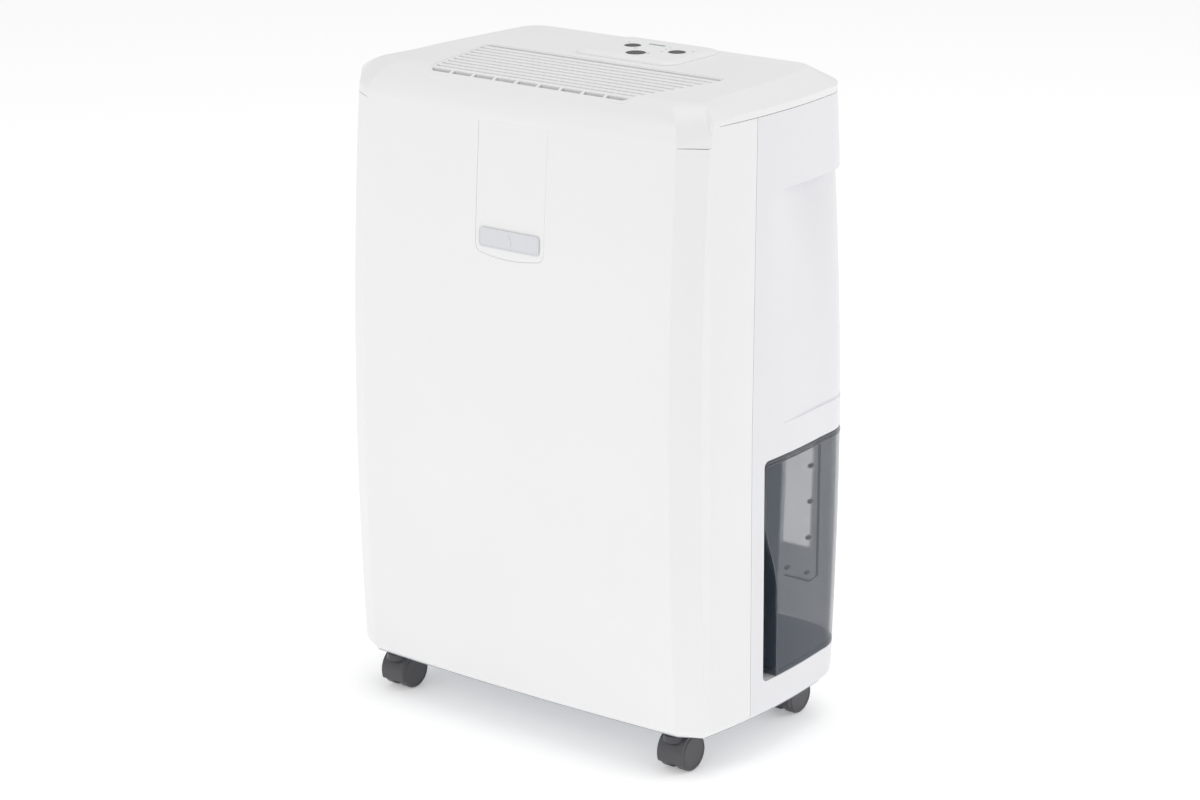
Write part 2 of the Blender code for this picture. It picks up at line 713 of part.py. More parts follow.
def make_rear_details(screw_steel, rubber):
    for number, (x, z) in enumerate(SCREW_PLACES, 1):
        face = rear_surface(z) + GAP
        slope = abs(rear_surface(z - SCREW_HEAD_R) - rear_surface(z + SCREW_HEAD_R))
        face += slope / 2
        profile = [(0.0, -SCREW_LENGTH), (SCREW_R, 1.0 - SCREW_LENGTH), (SCREW_R, 0.0), (SCREW_HEAD_R, 0.0),
                   (SCREW_HEAD_R * 0.85, 1.6), (0.0, 2.2)]
        shape = turned(profile, 12, (x, face, z), "Y")
        slot = join(box((x - 2.2, face + 1.1, z - 0.4), (x + 2.2, face + 5.0, z + 0.4)),
                    box((x - 0.4, face + 1.1, z - 2.2), (x + 0.4, face + 5.0, z + 2.2)))
        new_object("case_screw_%d" % number, cut(shape, slot), screw_steel, (x, face, z))
    face = rear_surface(GLAND_Z) + GAP + 0.6
    profile = [(GLAND_BORE_R, -9.0), (GLAND_R, -9.0), (GLAND_R, 0.0), (GLAND_FLANGE_R, 0.0),
               (GLAND_FLANGE_R - 1.0, 3.0), (GLAND_BORE_R, 3.6)]
    new_object("cord_gland", turned(profile, 14, (GLAND_X, face, GLAND_Z), "Y"), rubber,
               (GLAND_X, face, GLAND_Z))


def grille_outline(shrink):
    front, back = GRILLE_FRONT_HALF_WIDTH - shrink, GRILLE_BACK_HALF_WIDTH - shrink
    corners = [(-front, GRILLE_FRONT_Y + shrink), (front, GRILLE_FRONT_Y + shrink),
               (back, GRILLE_BACK_Y - shrink), (-back, GRILLE_BACK_Y - shrink)]
    return rounded(corners, GRILLE_CORNER_R - shrink, 3)


def make_top_cover(white):
    outer = cap_rings(0.0)
    inner = cap_rings(WALL)
    low = FRONT_SEAM_Z - 25.0
    outer[0] = [(x, y, low) for x, y, _ in outer[0]]
    inner[0] = [(x, y, low - 5.0) for x, y, _ in inner[0]]
    shell = cut(loft(outer), loft(inner))
    shell = cut(shell, box((-FAR, -FAR, -FAR), (FAR, FAR, FRONT_SEAM_Z + GAP / 2)))
    behind = box((-FAR, SEAM_STEP_Y - GAP / 2, -FAR), (FAR, FAR, SIDE_SEAM_Z + GAP))
    shell = cut(shell, behind)
    outlet = prism(grille_outline(0.0), FRONT_SEAM_Z, TOP_Z + 20.0)
    margin = PANEL_LIP
    board_hole = box((PANEL_X - PANEL_HALF_WIDTH + margin, PANEL_FRONT_Y + margin, FRONT_SEAM_Z),
                     (PANEL_X + PANEL_HALF_WIDTH - margin, PANEL_BACK_Y - margin, TOP_Z + 20.0))
    new_object("top_cover", cut(shell, outlet, board_hole), white)


def make_outlet_grille(white):
    steps = [GRILLE_FRONT_Y - 5.0, -91.0, -87.0, -83.0, PLATEAU_FRONT_Y, -40.0, GRILLE_BACK_Y + 5.0]
    top = [(y, cap_height(y) - GRILLE_SINK) for y in steps]
    under = [(y, z - GRILLE_THICKNESS) for y, z in reversed(top)]
    plate = common(prism(top + under, -FAR, FAR, "X"),
                   prism(grille_outline(GAP + 0.1), FRONT_SEAM_Z, TOP_Z + 20.0))
    pairs = []
    low, high = GRILLE_FRONT_Y + GRILLE_BORDER, GRILLE_BACK_Y - GRILLE_BORDER
    pitch = (high - low) / GRILLE_ROWS
    for row in range(GRILLE_ROWS):
        y = low + pitch * (row + 0.5)
        share = (y - GRILLE_FRONT_Y) / (GRILLE_BACK_Y - GRILLE_FRONT_Y)
        spread = GRILLE_BACK_HALF_WIDTH - GRILLE_FRONT_HALF_WIDTH
        half = GRILLE_FRONT_HALF_WIDTH + spread * share - GRILLE_BORDER
        column = 2 * half / GRILLE_COLUMNS
        for k in range(GRILLE_COLUMNS):
            x = -half + column * (k + 0.5)
            reach = (column - GRILLE_BAR) / 2
            pairs.append(((x - reach, y - GRILLE_SLOT / 2, FRONT_SEAM_Z),
                          (x + reach, y + GRILLE_SLOT / 2, TOP_Z + 20.0)))
    new_object("outlet_grille", cut(plate, boxes(pairs)), white)


def make_controls(white, dark, lens, board):
    bottom = TOP_Z + GAP
    top = TOP_Z + PANEL_HEIGHT
    rings = []
    for shrink, z in ((0.0, bottom), (0.0, bottom + PANEL_EDGE), (PANEL_BEVEL, top)):
        outline = rectangle(PANEL_HALF_WIDTH - shrink, PANEL_FRONT_Y + shrink,
                            PANEL_BACK_Y - shrink, PANEL_CORNER_R - shrink * 0.6, 2)
        rings.append([(PANEL_X + x, y, z) for x, y in outline])
    shape = loft(rings)
    board_top = TOP_Z - BOARD_DROP
    for name, (x, setback, diameter) in BUTTONS.items():
        y = PANEL_FRONT_Y + setback
        radius = diameter / 2
        shape = cut(shape, rod(radius + BUTTON_PLAY, bottom - 5.0, top + 5.0, 20, (x, y, 0.0)))
        floor = board_top + BUTTON_TRAVEL + GAP
        crown = top + BUTTON_PROUD
        profile = [(0.0, floor), (radius, floor), (radius, crown - BUTTON_ROUND),
                   (radius - BUTTON_ROUND, crown - BUTTON_ROUND / 4), (0.0, crown)]
        new_object(name, turned(profile, 20, (x, y, 0.0)), dark, (x, y, crown))
    y = PANEL_BACK_Y - LENS_SETBACK
    reach = LENS_HALF_WIDTH, LENS_HALF_DEPTH
    shape = cut(shape, box((LENS_X - reach[0], y - reach[1], bottom - 5.0),
                           (LENS_X + reach[0], y + reach[1], top + 5.0)))
    light = box((LENS_X - reach[0] + GAP, y - reach[1] + GAP, board_top + GAP),
                (LENS_X + reach[0] - GAP, y + reach[1] - GAP, top + 0.2))
    new_object("indicator_lens", light, lens)
    new_object("control_panel", shape, white)
    margin = PANEL_LIP + BOARD_PLAY
    plate = box((PANEL_X - PANEL_HALF_WIDTH + margin, PANEL_FRONT_Y + margin,
                 board_top - BOARD_THICKNESS),
                (PANEL_X + PANEL_HALF_WIDTH - margin, PANEL_BACK_Y - margin, board_top))
    new_object("control_board", plate, board)


def make_base_pan(grey):
    margin = WALL + 0.5
    low, high = BODY_BOTTOM_Z + GAP, BODY_BOTTOM_Z + PAN_HEIGHT

    def ring(distance, z):
        return [(x, y, z) for x, y in inset(mirrored(half_outline(BODY_BOTTOM_Z)), distance)]

    outer = loft([ring(margin, low), ring(margin, high)])
    inner = loft([ring(margin + PAN_WALL, low + PAN_FLOOR), ring(margin + PAN_WALL, high + 5.0)])
    shape = cut(outer, inner)
    for x, y in castor_places():
        boss = rod(STEM_R + 4.0, low + 1.0, STEM_TOP_Z - 1.0, 12, (x, y, 0.0))
        shape = join(shape, boss)
        shape = cut(shape, rod(STEM_R + STEM_PLAY, low - 5.0, STEM_TOP_Z + 5.0, 12, (x, y, 0.0)))
    for x, z in SCREW_PLACES:
        if z < high:
            shape = cut(shape, rod(SCREW_R + GAP, 60.0, FAR, 10, (x, 0.0, z), "Y"))
    new_object("base_pan", shape, grey)


# ---------------------------------------------------------------- tank pieces
def tank_form(shrink, low, high):
    """The tank's form, smaller by a distance all round, between two heights."""
    outer = common(lower_body(shrink),
                   box((TANK_REAR_OPEN_X + TANK_PLAY + shrink, TANK_FRONT_Y + TANK_PLAY + shrink,
                        low), (FAR, FAR, high)))
    inner = common(lower_body(WALL + 1.2 + shrink),
                   box((TANK_INNER_X + shrink, TANK_FRONT_Y + TANK_PLAY + shrink, low),
                       (TANK_REAR_OPEN_X + TANK_PLAY + shrink + 6.0, FAR, high)))
    return join(outer, inner)


def notch_block(grow):
    """The finger notch cut into the tank's outer front corner: a straight slot that runs out."""
    x = half_width(TANK_BOTTOM_Z) - NOTCH_DEPTH_X - grow
    outside = TANK_FRONT_Y - 30.0
    depth = NOTCH_DEPTH_Y + grow
    steps = 6
    rise = NOTCH_TOP_Z - NOTCH_FULL_Z
    edges = [(0.0, depth)]
    for k in range(steps + 1):
        swing = (1.0 - math.cos(math.pi * k / steps)) / 2
        edges.append((NOTCH_FULL_Z + rise * k / steps, depth - (depth + 2.0) * swing))
    rings = []
    for z, reach in edges:
        y = TANK_FRONT_Y + reach
        rings.append([(x, outside, z), (FAR, outside, z), (FAR, y, z), (x, y, z)])
    return loft(rings)


def make_tank(smoke, white):
    low = TANK_BOTTOM_Z + TANK_PLAY
    rim = TANK_TOP_Z - TANK_PLAY - TANK_LID - GAP
    shape = cut(tank_form(0.0, low, rim), notch_block(0.0))
    cavity = cut(tank_form(TANK_WALL, low + TANK_WALL, rim + 20.0), notch_block(TANK_WALL))
    cavity = common(cavity, box((-FAR, -FAR, -FAR), (FAR, FAR, TANK_TOP_Z - 0.5)))
    new_object("water_tank", cut(shape, cavity), smoke)

    lid = tank_form(0.0, rim + GAP, TANK_TOP_Z - TANK_PLAY)
    inlet = rod(SPOUT_R + 6.0, rim - 20.0, TANK_TOP_Z + 20.0, 16, (SPOUT_X, SPOUT_Y, 0.0))
    lid = cut(lid, inlet)
    reach = FLOAT_HALF_WIDTH + GAP
    for side in (-1, 1):
        near = FLOAT_Y + side * reach
        far = FLOAT_Y + side * (reach + FLOAT_EAR)
        ear = box((FLOAT_PIVOT_X - 5.0, min(near, far), FLOAT_PIVOT_Z - 5.0),
                  (FLOAT_PIVOT_X + 5.0, max(near, far), rim + GAP + 1.0))
        lid = join(lid, ear)
    new_object("tank_lid", lid, smoke)

    pivot = Vector((FLOAT_PIVOT_X, FLOAT_Y, FLOAT_PIVOT_Z))
    pin = rod(FLOAT_PIN_R, -FLOAT_HALF_WIDTH, FLOAT_HALF_WIDTH, 12, axis="Y")
    arm = box((-1.5, -3.0, -1.5), (FLOAT_ARM, 3.0, 1.5))
    body = box((FLOAT_ARM - FLOAT_HALF_LENGTH, -FLOAT_HALF_WIDTH, -FLOAT_HALF_HEIGHT),
               (FLOAT_ARM + FLOAT_HALF_LENGTH, FLOAT_HALF_WIDTH, FLOAT_HALF_HEIGHT))
    shape = join(arm, pin, body)
    turn = Matrix.Rotation(math.radians(FLOAT_DROP_DEG), 4, "Y")
    bmesh.ops.transform(shape, matrix=Matrix.Translation(pivot) @ turn, verts=shape.verts)
    new_object("tank_float", shape, white, pivot)


def make_tank_bay(white):
    outer = common(lower_body(WALL + 0.5),
                   box((TANK_INNER_X - BAY_PLAY - BAY_WALL, TANK_FRONT_Y - BAY_PLAY - BAY_WALL,
                        TANK_BOTTOM_Z - BAY_WALL), (FAR, FAR, TANK_TOP_Z + BAY_WALL + BAY_PLAY)))
    space = box((TANK_INNER_X - BAY_PLAY, TANK_FRONT_Y - BAY_PLAY, TANK_BOTTOM_Z),
                (FAR, FAR, TANK_TOP_Z + BAY_PLAY))
    drain = rod(SPOUT_R + SPOUT_PLAY, TANK_TOP_Z - 20.0, TRAY_FLOOR_Z + 20.0, 16,
                (SPOUT_X, SPOUT_Y, 0.0))
    new_object("tank_bay", cut(outer, space, drain), white)


# ---------------------------------------------------------------- rear intake
def make_intake(white, black):
    low = DOOR_BOTTOM_Z
    panel = common(body_tube(), box((-DOOR_HALF_WIDTH, 60.0, low), (DOOR_HALF_WIDTH, FAR, DOOR_TOP_Z)))
    pivot = door_pivot()
    new_object("intake_door", cut(panel, door_slots()), white, pivot)
    margin = FILTER_MARGIN
    half = DOOR_HALF_WIDTH - margin
    bottom, top = low + margin, DOOR_TOP_Z - margin
    front_y = FILTER_BACK_Y - FILTER_THICKNESS
    frame = box((-half, front_y, bottom), (half, FILTER_BACK_Y, top))
    pairs = []
    columns, rows = 4, 3
    width = (2 * half - 2 * FILTER_BORDER - (columns - 1) * FILTER_RIB) / columns
    height = (top - bottom - 2 * FILTER_BORDER - (rows - 1) * FILTER_RIB) / rows
    for i in range(columns):
        for j in range(rows):
            x = -half + FILTER_BORDER + i * (width + FILTER_RIB)
            z = bottom + FILTER_BORDER + j * (height + FILTER_RIB)
            pairs.append(((x, 60.0, z), (x + width, 140.0, z + height)))
    new_object("filter_frame", cut(frame, boxes(pairs)), black, pivot)
    sheet = box((-half + 2.0, front_y - GAP - 0.8, bottom + 2.0), (half - 2.0, front_y - GAP, top - 2.0))
    new_object("filter_mesh", sheet, black, pivot)


def door_pivot():
    z = DOOR_BOTTOM_Z + 1.0
    return Vector((0.0, BODY_HALF_DEPTH + bow(z) - WALL / 2, z))


# ---------------------------------------------------------------- castors
def castor_places():
    return [(x, y) for y in (CASTOR_FRONT_Y, CASTOR_REAR_Y) for x in (-CASTOR_X, CASTOR_X)]


def sector(inner, outer, start, end, steps):
    """A ring sector in the (y, z) plane; angles count from +Z towards -Y."""
    angles = [math.radians(start + (end - start) * k / steps) for k in range(steps + 1)]
    points = [(-outer * math.sin(a), outer * math.cos(a)) for a in angles]
    if inner > 0.0:
        points += [(-inner * math.sin(a), inner * math.cos(a)) for a in reversed(angles)]
    else:
        points.append((0.0, 0.0))
    return points


def make_castor(name, x, y, hood_mat, wheel_mat, steel):
    axle_y = y + CASTOR_TRAIL
    axle_z = WHEEL_R
    tip_r = WHEEL_R / math.cos(math.pi / WHEEL_SIDES)
    inside = tip_r + HOOD_CLEARANCE
    outside = inside + HOOD_THICKNESS

    def at(points):
        return [(axle_y + a, axle_z + b) for a, b in points]

    def slab(points, half):
        return prism(at(points), x - half, x + half, "X")

    seat = inside + HOOD_THICKNESS / 2
    fender = slab(sector(inside, outside, -48.0, 112.0, 8), HOOD_HALF_WIDTH)
    web = slab(sector(0.0, seat - 0.2, -46.0, 110.0, 6), HOOD_WEB_HALF)
    hub = rod(7.0, -HOOD_WEB_HALF + 0.1, HOOD_WEB_HALF - 0.1, 10, (x, axle_y, axle_z), "X")
    stem = rod(STEM_R, axle_z, STEM_TOP_Z, 12, (x, y, 0.0))
    stem = cut(stem, slab(sector(0.0, seat, -60.0, 120.0, 9), HOOD_HALF_WIDTH))
    hood = join(fender, web, hub, stem)
    hood = cut(hood, rod(AXLE_R + AXLE_PLAY, -FAR, FAR, 12, (x, axle_y, axle_z), "X"))
    new_object("castor_hood_" + name, hood, hood_mat, (x, y, BODY_BOTTOM_Z))
    axle_half = WHEEL_INNER_X + WHEEL_WIDTH - 3.0
    new_object("castor_axle_" + name, rod(AXLE_R, -axle_half, axle_half, 12, (x, axle_y, axle_z), "X"),
               steel, (x, axle_y, axle_z))
    for side, label in ((-1, "left"), (1, "right")):
        inner, outer = WHEEL_INNER_X, WHEEL_INNER_X + WHEEL_WIDTH
        bore = AXLE_R + AXLE_PLAY
        flat = math.pi / WHEEL_SIDES
        profile = [(bore, inner), (tip_r - WHEEL_BEVEL / 2, inner), (tip_r, inner + WHEEL_BEVEL / 2),
                   (tip_r, outer - WHEEL_BEVEL), (tip_r - WHEEL_BEVEL, outer), (0.0, outer)]
        profile = [(0.0, outer - 2.2), (bore, outer - 2.2)] + profile
        profile = [(r, side * h) for r, h in profile]
        new_object("castor_wheel_%s_%s" % (name, label),
                   turned(profile, WHEEL_SIDES, (x, axle_y, axle_z), "X", flat),
                   wheel_mat, (x, axle_y, axle_z))


# ---------------------------------------------------------------- inside
def make_compressor(black, rubber, copper):
    top, foot = COMPRESSOR_TOP_Z, COMPRESSOR_FOOT_Z
    radius = COMPRESSOR_R
    profile = [(0.0, foot), (COMPRESSOR_FOOT_R, foot), (COMPRESSOR_FOOT_R, foot + 3.0),
               (radius, foot + 3.0), (radius, top - 34.0), (radius * 0.93, top - 18.0),
               (radius * 0.7, top - 6.0), (0.0, top)]
    new_object("compressor", turned(profile, 24, (COMPRESSOR_X, COMPRESSOR_Y, 0.0)), black)
    floor = BODY_BOTTOM_Z + GAP + PAN_FLOOR + GAP
    for k in range(3):
        angle = math.pi / 6 + 2 * math.pi * k / 3
        x = COMPRESSOR_X + GROMMET_CIRCLE_R * math.cos(angle)
        y = COMPRESSOR_Y + GROMMET_CIRCLE_R * math.sin(angle)
        profile = [(0.0, floor), (GROMMET_R, floor), (GROMMET_R - 2.0, (floor + foot) / 2),
                   (GROMMET_R, foot - GAP), (0.0, foot - GAP)]
        new_object("compressor_grommet_%d" % (k + 1), turned(profile, 12, (x, y, 0.0)), rubber)
    high, low = ACCUMULATOR_TOP_Z, ACCUMULATOR_TOP_Z - ACCUMULATOR_HEIGHT
    profile = [(0.0, low), (ACCUMULATOR_R * 0.7, low + 2.0), (ACCUMULATOR_R, low + 12.0),
               (ACCUMULATOR_R, high - 15.0), (ACCUMULATOR_R * 0.6, high - 3.0), (0.0, high)]
    new_object("accumulator", turned(profile, 16, (ACCUMULATOR_X, ACCUMULATOR_Y, 0.0)), black)
    condenser_mid = CONDENSER_BACK_Y - COIL_DEPTH / 2
    evaporator_mid = EVAPORATOR_BACK_Y - COIL_DEPTH / 2
    reach = COIL_HALF_WIDTH + GAP + 1.0
    bend = COIL_HALF_WIDTH + 20.0
    entry = COIL_BOTTOM_Z + 64.0
    discharge = [(COMPRESSOR_X, COMPRESSOR_Y, top + PIPE_R),
                 (COMPRESSOR_X - 10.0, COMPRESSOR_Y, top + 14.0),
                 (-bend + 3.0, COMPRESSOR_Y + 7.0, top + 34.0), (-bend, condenser_mid - 8.0, entry - 20.0),
                 (-reach - 7.0, condenser_mid, entry), (-reach, condenser_mid, entry)]
    new_object("discharge_pipe", pipe(discharge, PIPE_R), copper)
    entry = COIL_BOTTOM_Z + 34.0
    suction = [(ACCUMULATOR_X, ACCUMULATOR_Y, high + PIPE_R),
               (ACCUMULATOR_X - 4.0, ACCUMULATOR_Y, high + 23.0),
               ((ACCUMULATOR_X - bend) / 2 - 14.0, ACCUMULATOR_Y + 26.0, top + 2.0),
               (-bend, evaporator_mid + 2.0, top + 12.0), (-bend - 2.0, evaporator_mid, entry - 20.0),
               (-reach - 7.0, evaporator_mid, entry), (-reach, evaporator_mid, entry)]
    new_object("suction_pipe", pipe(suction, PIPE_R), copper)


def make_coils(aluminium):
    """Finned coils: one block each, with grooves across the air side for its fins."""
    for name, far in (("condenser", CONDENSER_BACK_Y), ("evaporator", EVAPORATOR_BACK_Y)):
        near = far - COIL_DEPTH
        block = box((-COIL_HALF_WIDTH, near, COIL_BOTTOM_Z), (COIL_HALF_WIDTH, far, COIL_TOP_Z))
        pitch = (COIL_TOP_Z - COIL_BOTTOM_Z) / COIL_FIN_ROWS
        pairs = []
        for k in range(COIL_FIN_ROWS):
            z = COIL_BOTTOM_Z + pitch * (k + 0.5)
            pairs.append(((-COIL_HALF_WIDTH + 6.0, far - 6.0, z - 4.0),
                          (COIL_HALF_WIDTH - 6.0, far + 20.0, z + 4.0)))
        new_object(name, cut(block, boxes(pairs)), aluminium)


def make_drip_tray(grey):
    low, high = TRAY_FLOOR_Z, TRAY_FLOOR_Z + TRAY_HEIGHT
    near, far = CONDENSER_BACK_Y - COIL_DEPTH - 4.0, EVAPORATOR_BACK_Y + 3.0
    half = COIL_HALF_WIDTH + 4.0
    tray = cut(box((-half, near, low), (half, far, high)),
               box((-half + TRAY_WALL, near + TRAY_WALL, low + TRAY_WALL),
                   (half - TRAY_WALL, far - TRAY_WALL, high + 20.0)))
    spout = rod(SPOUT_R, TANK_TOP_Z + 0.4, low + 1.0, 16, (SPOUT_X, SPOUT_Y, 0.0))
    tray = join(tray, spout)
    bore = rod(SPOUT_BORE_R, TANK_TOP_Z - 20.0, high + 20.0, 12, (SPOUT_X, SPOUT_Y, 0.0))
    new_object("drip_tray", cut(tray, bore), grey)


def scroll_outline(shrink):
    """A round fan chamber that opens into a straight duct up to the outlet."""
    radius = SCROLL_R - shrink
    steps = 18
    points = []
    for k in range(steps + 1):
        angle = math.pi + math.pi * k / steps
        points.append((radius * math.cos(angle), FAN_Z + radius * math.sin(angle)))
    points += [(radius, SCROLL_TOP_Z), (-radius, SCROLL_TOP_Z)]
    return points


def make_fan(grey, steel, black):
    near, far = SCROLL_FRONT_Y, SCROLL_BACK_Y
    shell = prism(scroll_outline(0.0), near, far, "Y")
    room = prism([(x, z + (30.0 if z >= SCROLL_TOP_Z else 0.0)) for x, z in
                  scroll_outline(SCROLL_WALL)], near + SCROLL_WALL, far - SCROLL_WALL, "Y")
    intake = rod(SCROLL_INTAKE_R, far - 10.0, far + 10.0, 24, (0.0, 0.0, FAN_Z), "Y")
    new_object("fan_scroll", cut(shell, room, intake), grey)
    centre = (0.0, 0.0, FAN_Z)
    motor_start = near + SCROLL_WALL + GAP
    motor_end = motor_start + MOTOR_LENGTH
    profile = [(0.0, motor_start), (MOTOR_R, motor_start), (MOTOR_R, motor_end - 6.0),
               (MOTOR_R - 6.0, motor_end), (0.0, motor_end)]
    new_object("fan_motor", turned(profile, 20, centre, "Y"), steel)
    plate = motor_end + 3.0
    shaft_end = plate + 12.0
    new_object("fan_shaft", rod(3.0, motor_end + GAP, shaft_end, 12, centre, "Y"), steel,
               (0.0, plate, FAN_Z))
    hub = [(3.6, plate), (FAN_R, plate), (FAN_R, plate + 2.0), (11.0, plate + 2.0),
           (11.0, shaft_end + 2.0), (3.6, shaft_end + 2.0)]
    rim_start = far - SCROLL_WALL - 5.0
    rim = [(FAN_R - 14.0, rim_start), (FAN_R, rim_start), (FAN_R, rim_start + 2.5),
           (FAN_R - 14.0, rim_start + 2.5)]
    wheel = turned(hub, 24, centre, "Y")
    blades = []
    for k in range(FAN_BLADES):
        blade = box((FAN_R - 13.0, plate + 1.0, -0.9), (FAN_R - 1.0, rim_start + 1.0, 0.9))
        angle = 2 * math.pi * k / FAN_BLADES
        place = Matrix.Translation(centre) @ Matrix.Rotation(angle, 4, "Y")
        bmesh.ops.transform(blade, matrix=place, verts=blade.verts)
        blades.append(blade)
    wheel = join(wheel, turned(rim, 24, centre, "Y"), *blades)
    new_object("fan_wheel", wheel, black, (0.0, plate, FAN_Z))


def make_electrics(board, black, white):
    floor = BODY_BOTTOM_Z + PAN_FLOOR + 2 * GAP
    radius, height = 16.0, 72.0
    profile = [(0.0, floor), (radius, floor), (radius, floor + height - 2.0),
               (radius - 2.0, floor + height), (0.0, floor + height)]
    place = (ACCUMULATOR_X - 3.0, 31.5 - BODY_HALF_DEPTH, 0.0)
    new_object("run_capacitor", turned(profile, 16, place), white)
    board_y = 9.5 - BODY_HALF_DEPTH
    new_object("power_board", box((21.0 - BODY_HALF_WIDTH, board_y, FAN_Z - 83.0),
                                  (-SCROLL_R - 8.0, board_y + BOARD_THICKNESS, FAN_Z + 33.0)), board)
    bay_x = TANK_INNER_X - BAY_PLAY - BAY_WALL
    new_object("tank_switch", box((bay_x - GAP - 10.0, FLOAT_Y - 6.0, FLOAT_PIVOT_Z - 28.0),
                                  (bay_x - GAP, FLOAT_Y + 6.0, FLOAT_PIVOT_Z - 8.0)), black)
    sensor = Vector((COIL_HALF_WIDTH + 8.0, EVAPORATOR_BACK_Y - 20.0, COIL_BOTTOM_Z + 34.0))
    new_object("humidity_sensor", box(sensor, sensor + Vector((12.0, 8.0, 14.0))), board)


def main():
    for piece in list(bpy.data.objects):
        bpy.data.objects.remove(piece)
    white = material("white_abs", WHITE, 0.32)
    cool = material("cool_white_abs", COOL_WHITE, 0.35)
    dark = material("charcoal_abs", "38363C", 0.45)
    hood_mat = material("charcoal_nylon", "3C3A3F", 0.5)
    grey = material("grey_polypropylene", "B9BCC0", 0.5)
    smoke = material("smoked_polystyrene", "6F7A84", 0.12, alpha=0.5)
    rubber = material("black_rubber", "1F1F21", 0.7)
    black = material("black_enamel", "232426", 0.4)
    steel = material("zinc_plated_steel", "B9BBBE", 0.3, 1.0)
    copper = material("copper", "B87350", 0.3, 1.0)
    aluminium = material("aluminium_fin_stock", "C9CCD0", 0.35, 1.0)
    board = material("circuit_board", "2E6B45", 0.5)
    lens = material("indicator_lens", "9FB4A8", 0.2)
    badge = material("silver_badge", "C4C8D0", 0.3, 0.6)

    make_front_cover(white)
    make_label_and_badge(white, badge)
    make_rear_housing(cool)
    make_rear_details(steel, rubber)
    make_top_cover(white)
    make_outlet_grille(white)
    make_controls(white, dark, lens, board)
    make_base_pan(grey)
    make_tank_bay(cool)
    make_tank(smoke, cool)
    make_intake(cool, black)
    names = ("front_left", "front_right", "rear_left", "rear_right")
    for name, (x, y) in zip(names, castor_places()):
        make_castor(name, x, y, hood_mat, hood_mat, steel)
    make_compressor(black, rubber, copper)
    make_coils(aluminium)
    make_drip_tray(grey)
    make_fan(grey, steel, black)
    make_electrics(board, black, cool)


main()
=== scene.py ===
# %% [markdown]
# # A portable dehumidifier, finished in Blender
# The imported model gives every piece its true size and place. This lesson adds what the eye
# sees: smooth moulded shells, the smoked tank, the louvred air outlet, nets, screws and
# castors, and a material for each. Lengths are written in millimetres and turned into metres
# when a mesh is made, because moulded parts are drawn in millimetres.

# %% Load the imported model
import math

import bmesh
import bpy
from mathutils import Matrix, Vector


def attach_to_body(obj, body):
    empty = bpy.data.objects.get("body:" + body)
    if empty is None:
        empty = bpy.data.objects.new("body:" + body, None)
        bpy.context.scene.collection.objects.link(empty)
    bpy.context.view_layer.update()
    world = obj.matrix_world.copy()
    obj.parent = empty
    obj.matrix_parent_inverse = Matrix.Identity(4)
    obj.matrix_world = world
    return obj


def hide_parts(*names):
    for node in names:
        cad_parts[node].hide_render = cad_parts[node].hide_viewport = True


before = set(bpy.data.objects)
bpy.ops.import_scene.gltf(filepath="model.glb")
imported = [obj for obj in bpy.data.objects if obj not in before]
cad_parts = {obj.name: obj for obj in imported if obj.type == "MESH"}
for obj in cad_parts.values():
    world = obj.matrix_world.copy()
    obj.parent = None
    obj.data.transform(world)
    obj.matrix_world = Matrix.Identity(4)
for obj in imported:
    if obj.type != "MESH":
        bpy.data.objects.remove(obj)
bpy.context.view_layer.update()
MM = 0.001
print("CAD nodes:", len(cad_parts))

# %% [markdown]
# ## Colours and nodes
# Paint charts and screens give colours as sRGB hex, but a shader works on linear light, so
# one function does the change. Every material is a Principled shader with a few pattern
# nodes; one helper adds a node with its settings and inputs, which keeps each recipe short.

# %% Colour and node helpers
def linear(hex_colour):
    channels = [int(hex_colour[i:i + 2], 16) / 255 for i in (0, 2, 4)]
    return (*[c / 12.92 if c <= 0.04045 else ((c + 0.055) / 1.055) ** 2.4 for c in channels], 1.0)


def fill(node, *values, **sockets):
    """Give a node's inputs, in order or by name, a value or a link."""
    targets = list(zip(node.inputs, values))
    for name, value in sockets.items():
        wanted = name.replace("_", " ").lower()
        targets.append((next(s for s in node.inputs if s.name.lower() == wanted and s.enabled), value))
    for socket, value in targets:
        if isinstance(value, bpy.types.NodeSocket):
            node.id_data.links.new(value, socket)
        else:
            socket.default_value = value


def add_node(tree, kind, settings=None, *values, **sockets):
    node = tree.nodes.new(kind)
    for key, value in (settings or {}).items():
        setattr(node, key, value)
    fill(node, *values, **sockets)
    return node


def new_material(name, hex_colour, **values):
    mat = bpy.data.materials.new(name)
    mat.use_nodes = True
    shader = mat.node_tree.nodes["Principled BSDF"]
    fill(shader, Base_Color=linear(hex_colour), **values)
    mat.diffuse_color = linear(hex_colour)
    return mat, shader


# %% [markdown]
# ## Moulded plastic
# ABS and polypropylene housings are moulded in steel tools whose faces are spark-eroded, so
# the skin is a very fine pebble, about a third of a millimetre across, and its gloss drifts
# a little from place to place. A colour alone would look like paper. Two noises do it: a fine
# one for bump and a broad one that moves the roughness and, barely, the tint.

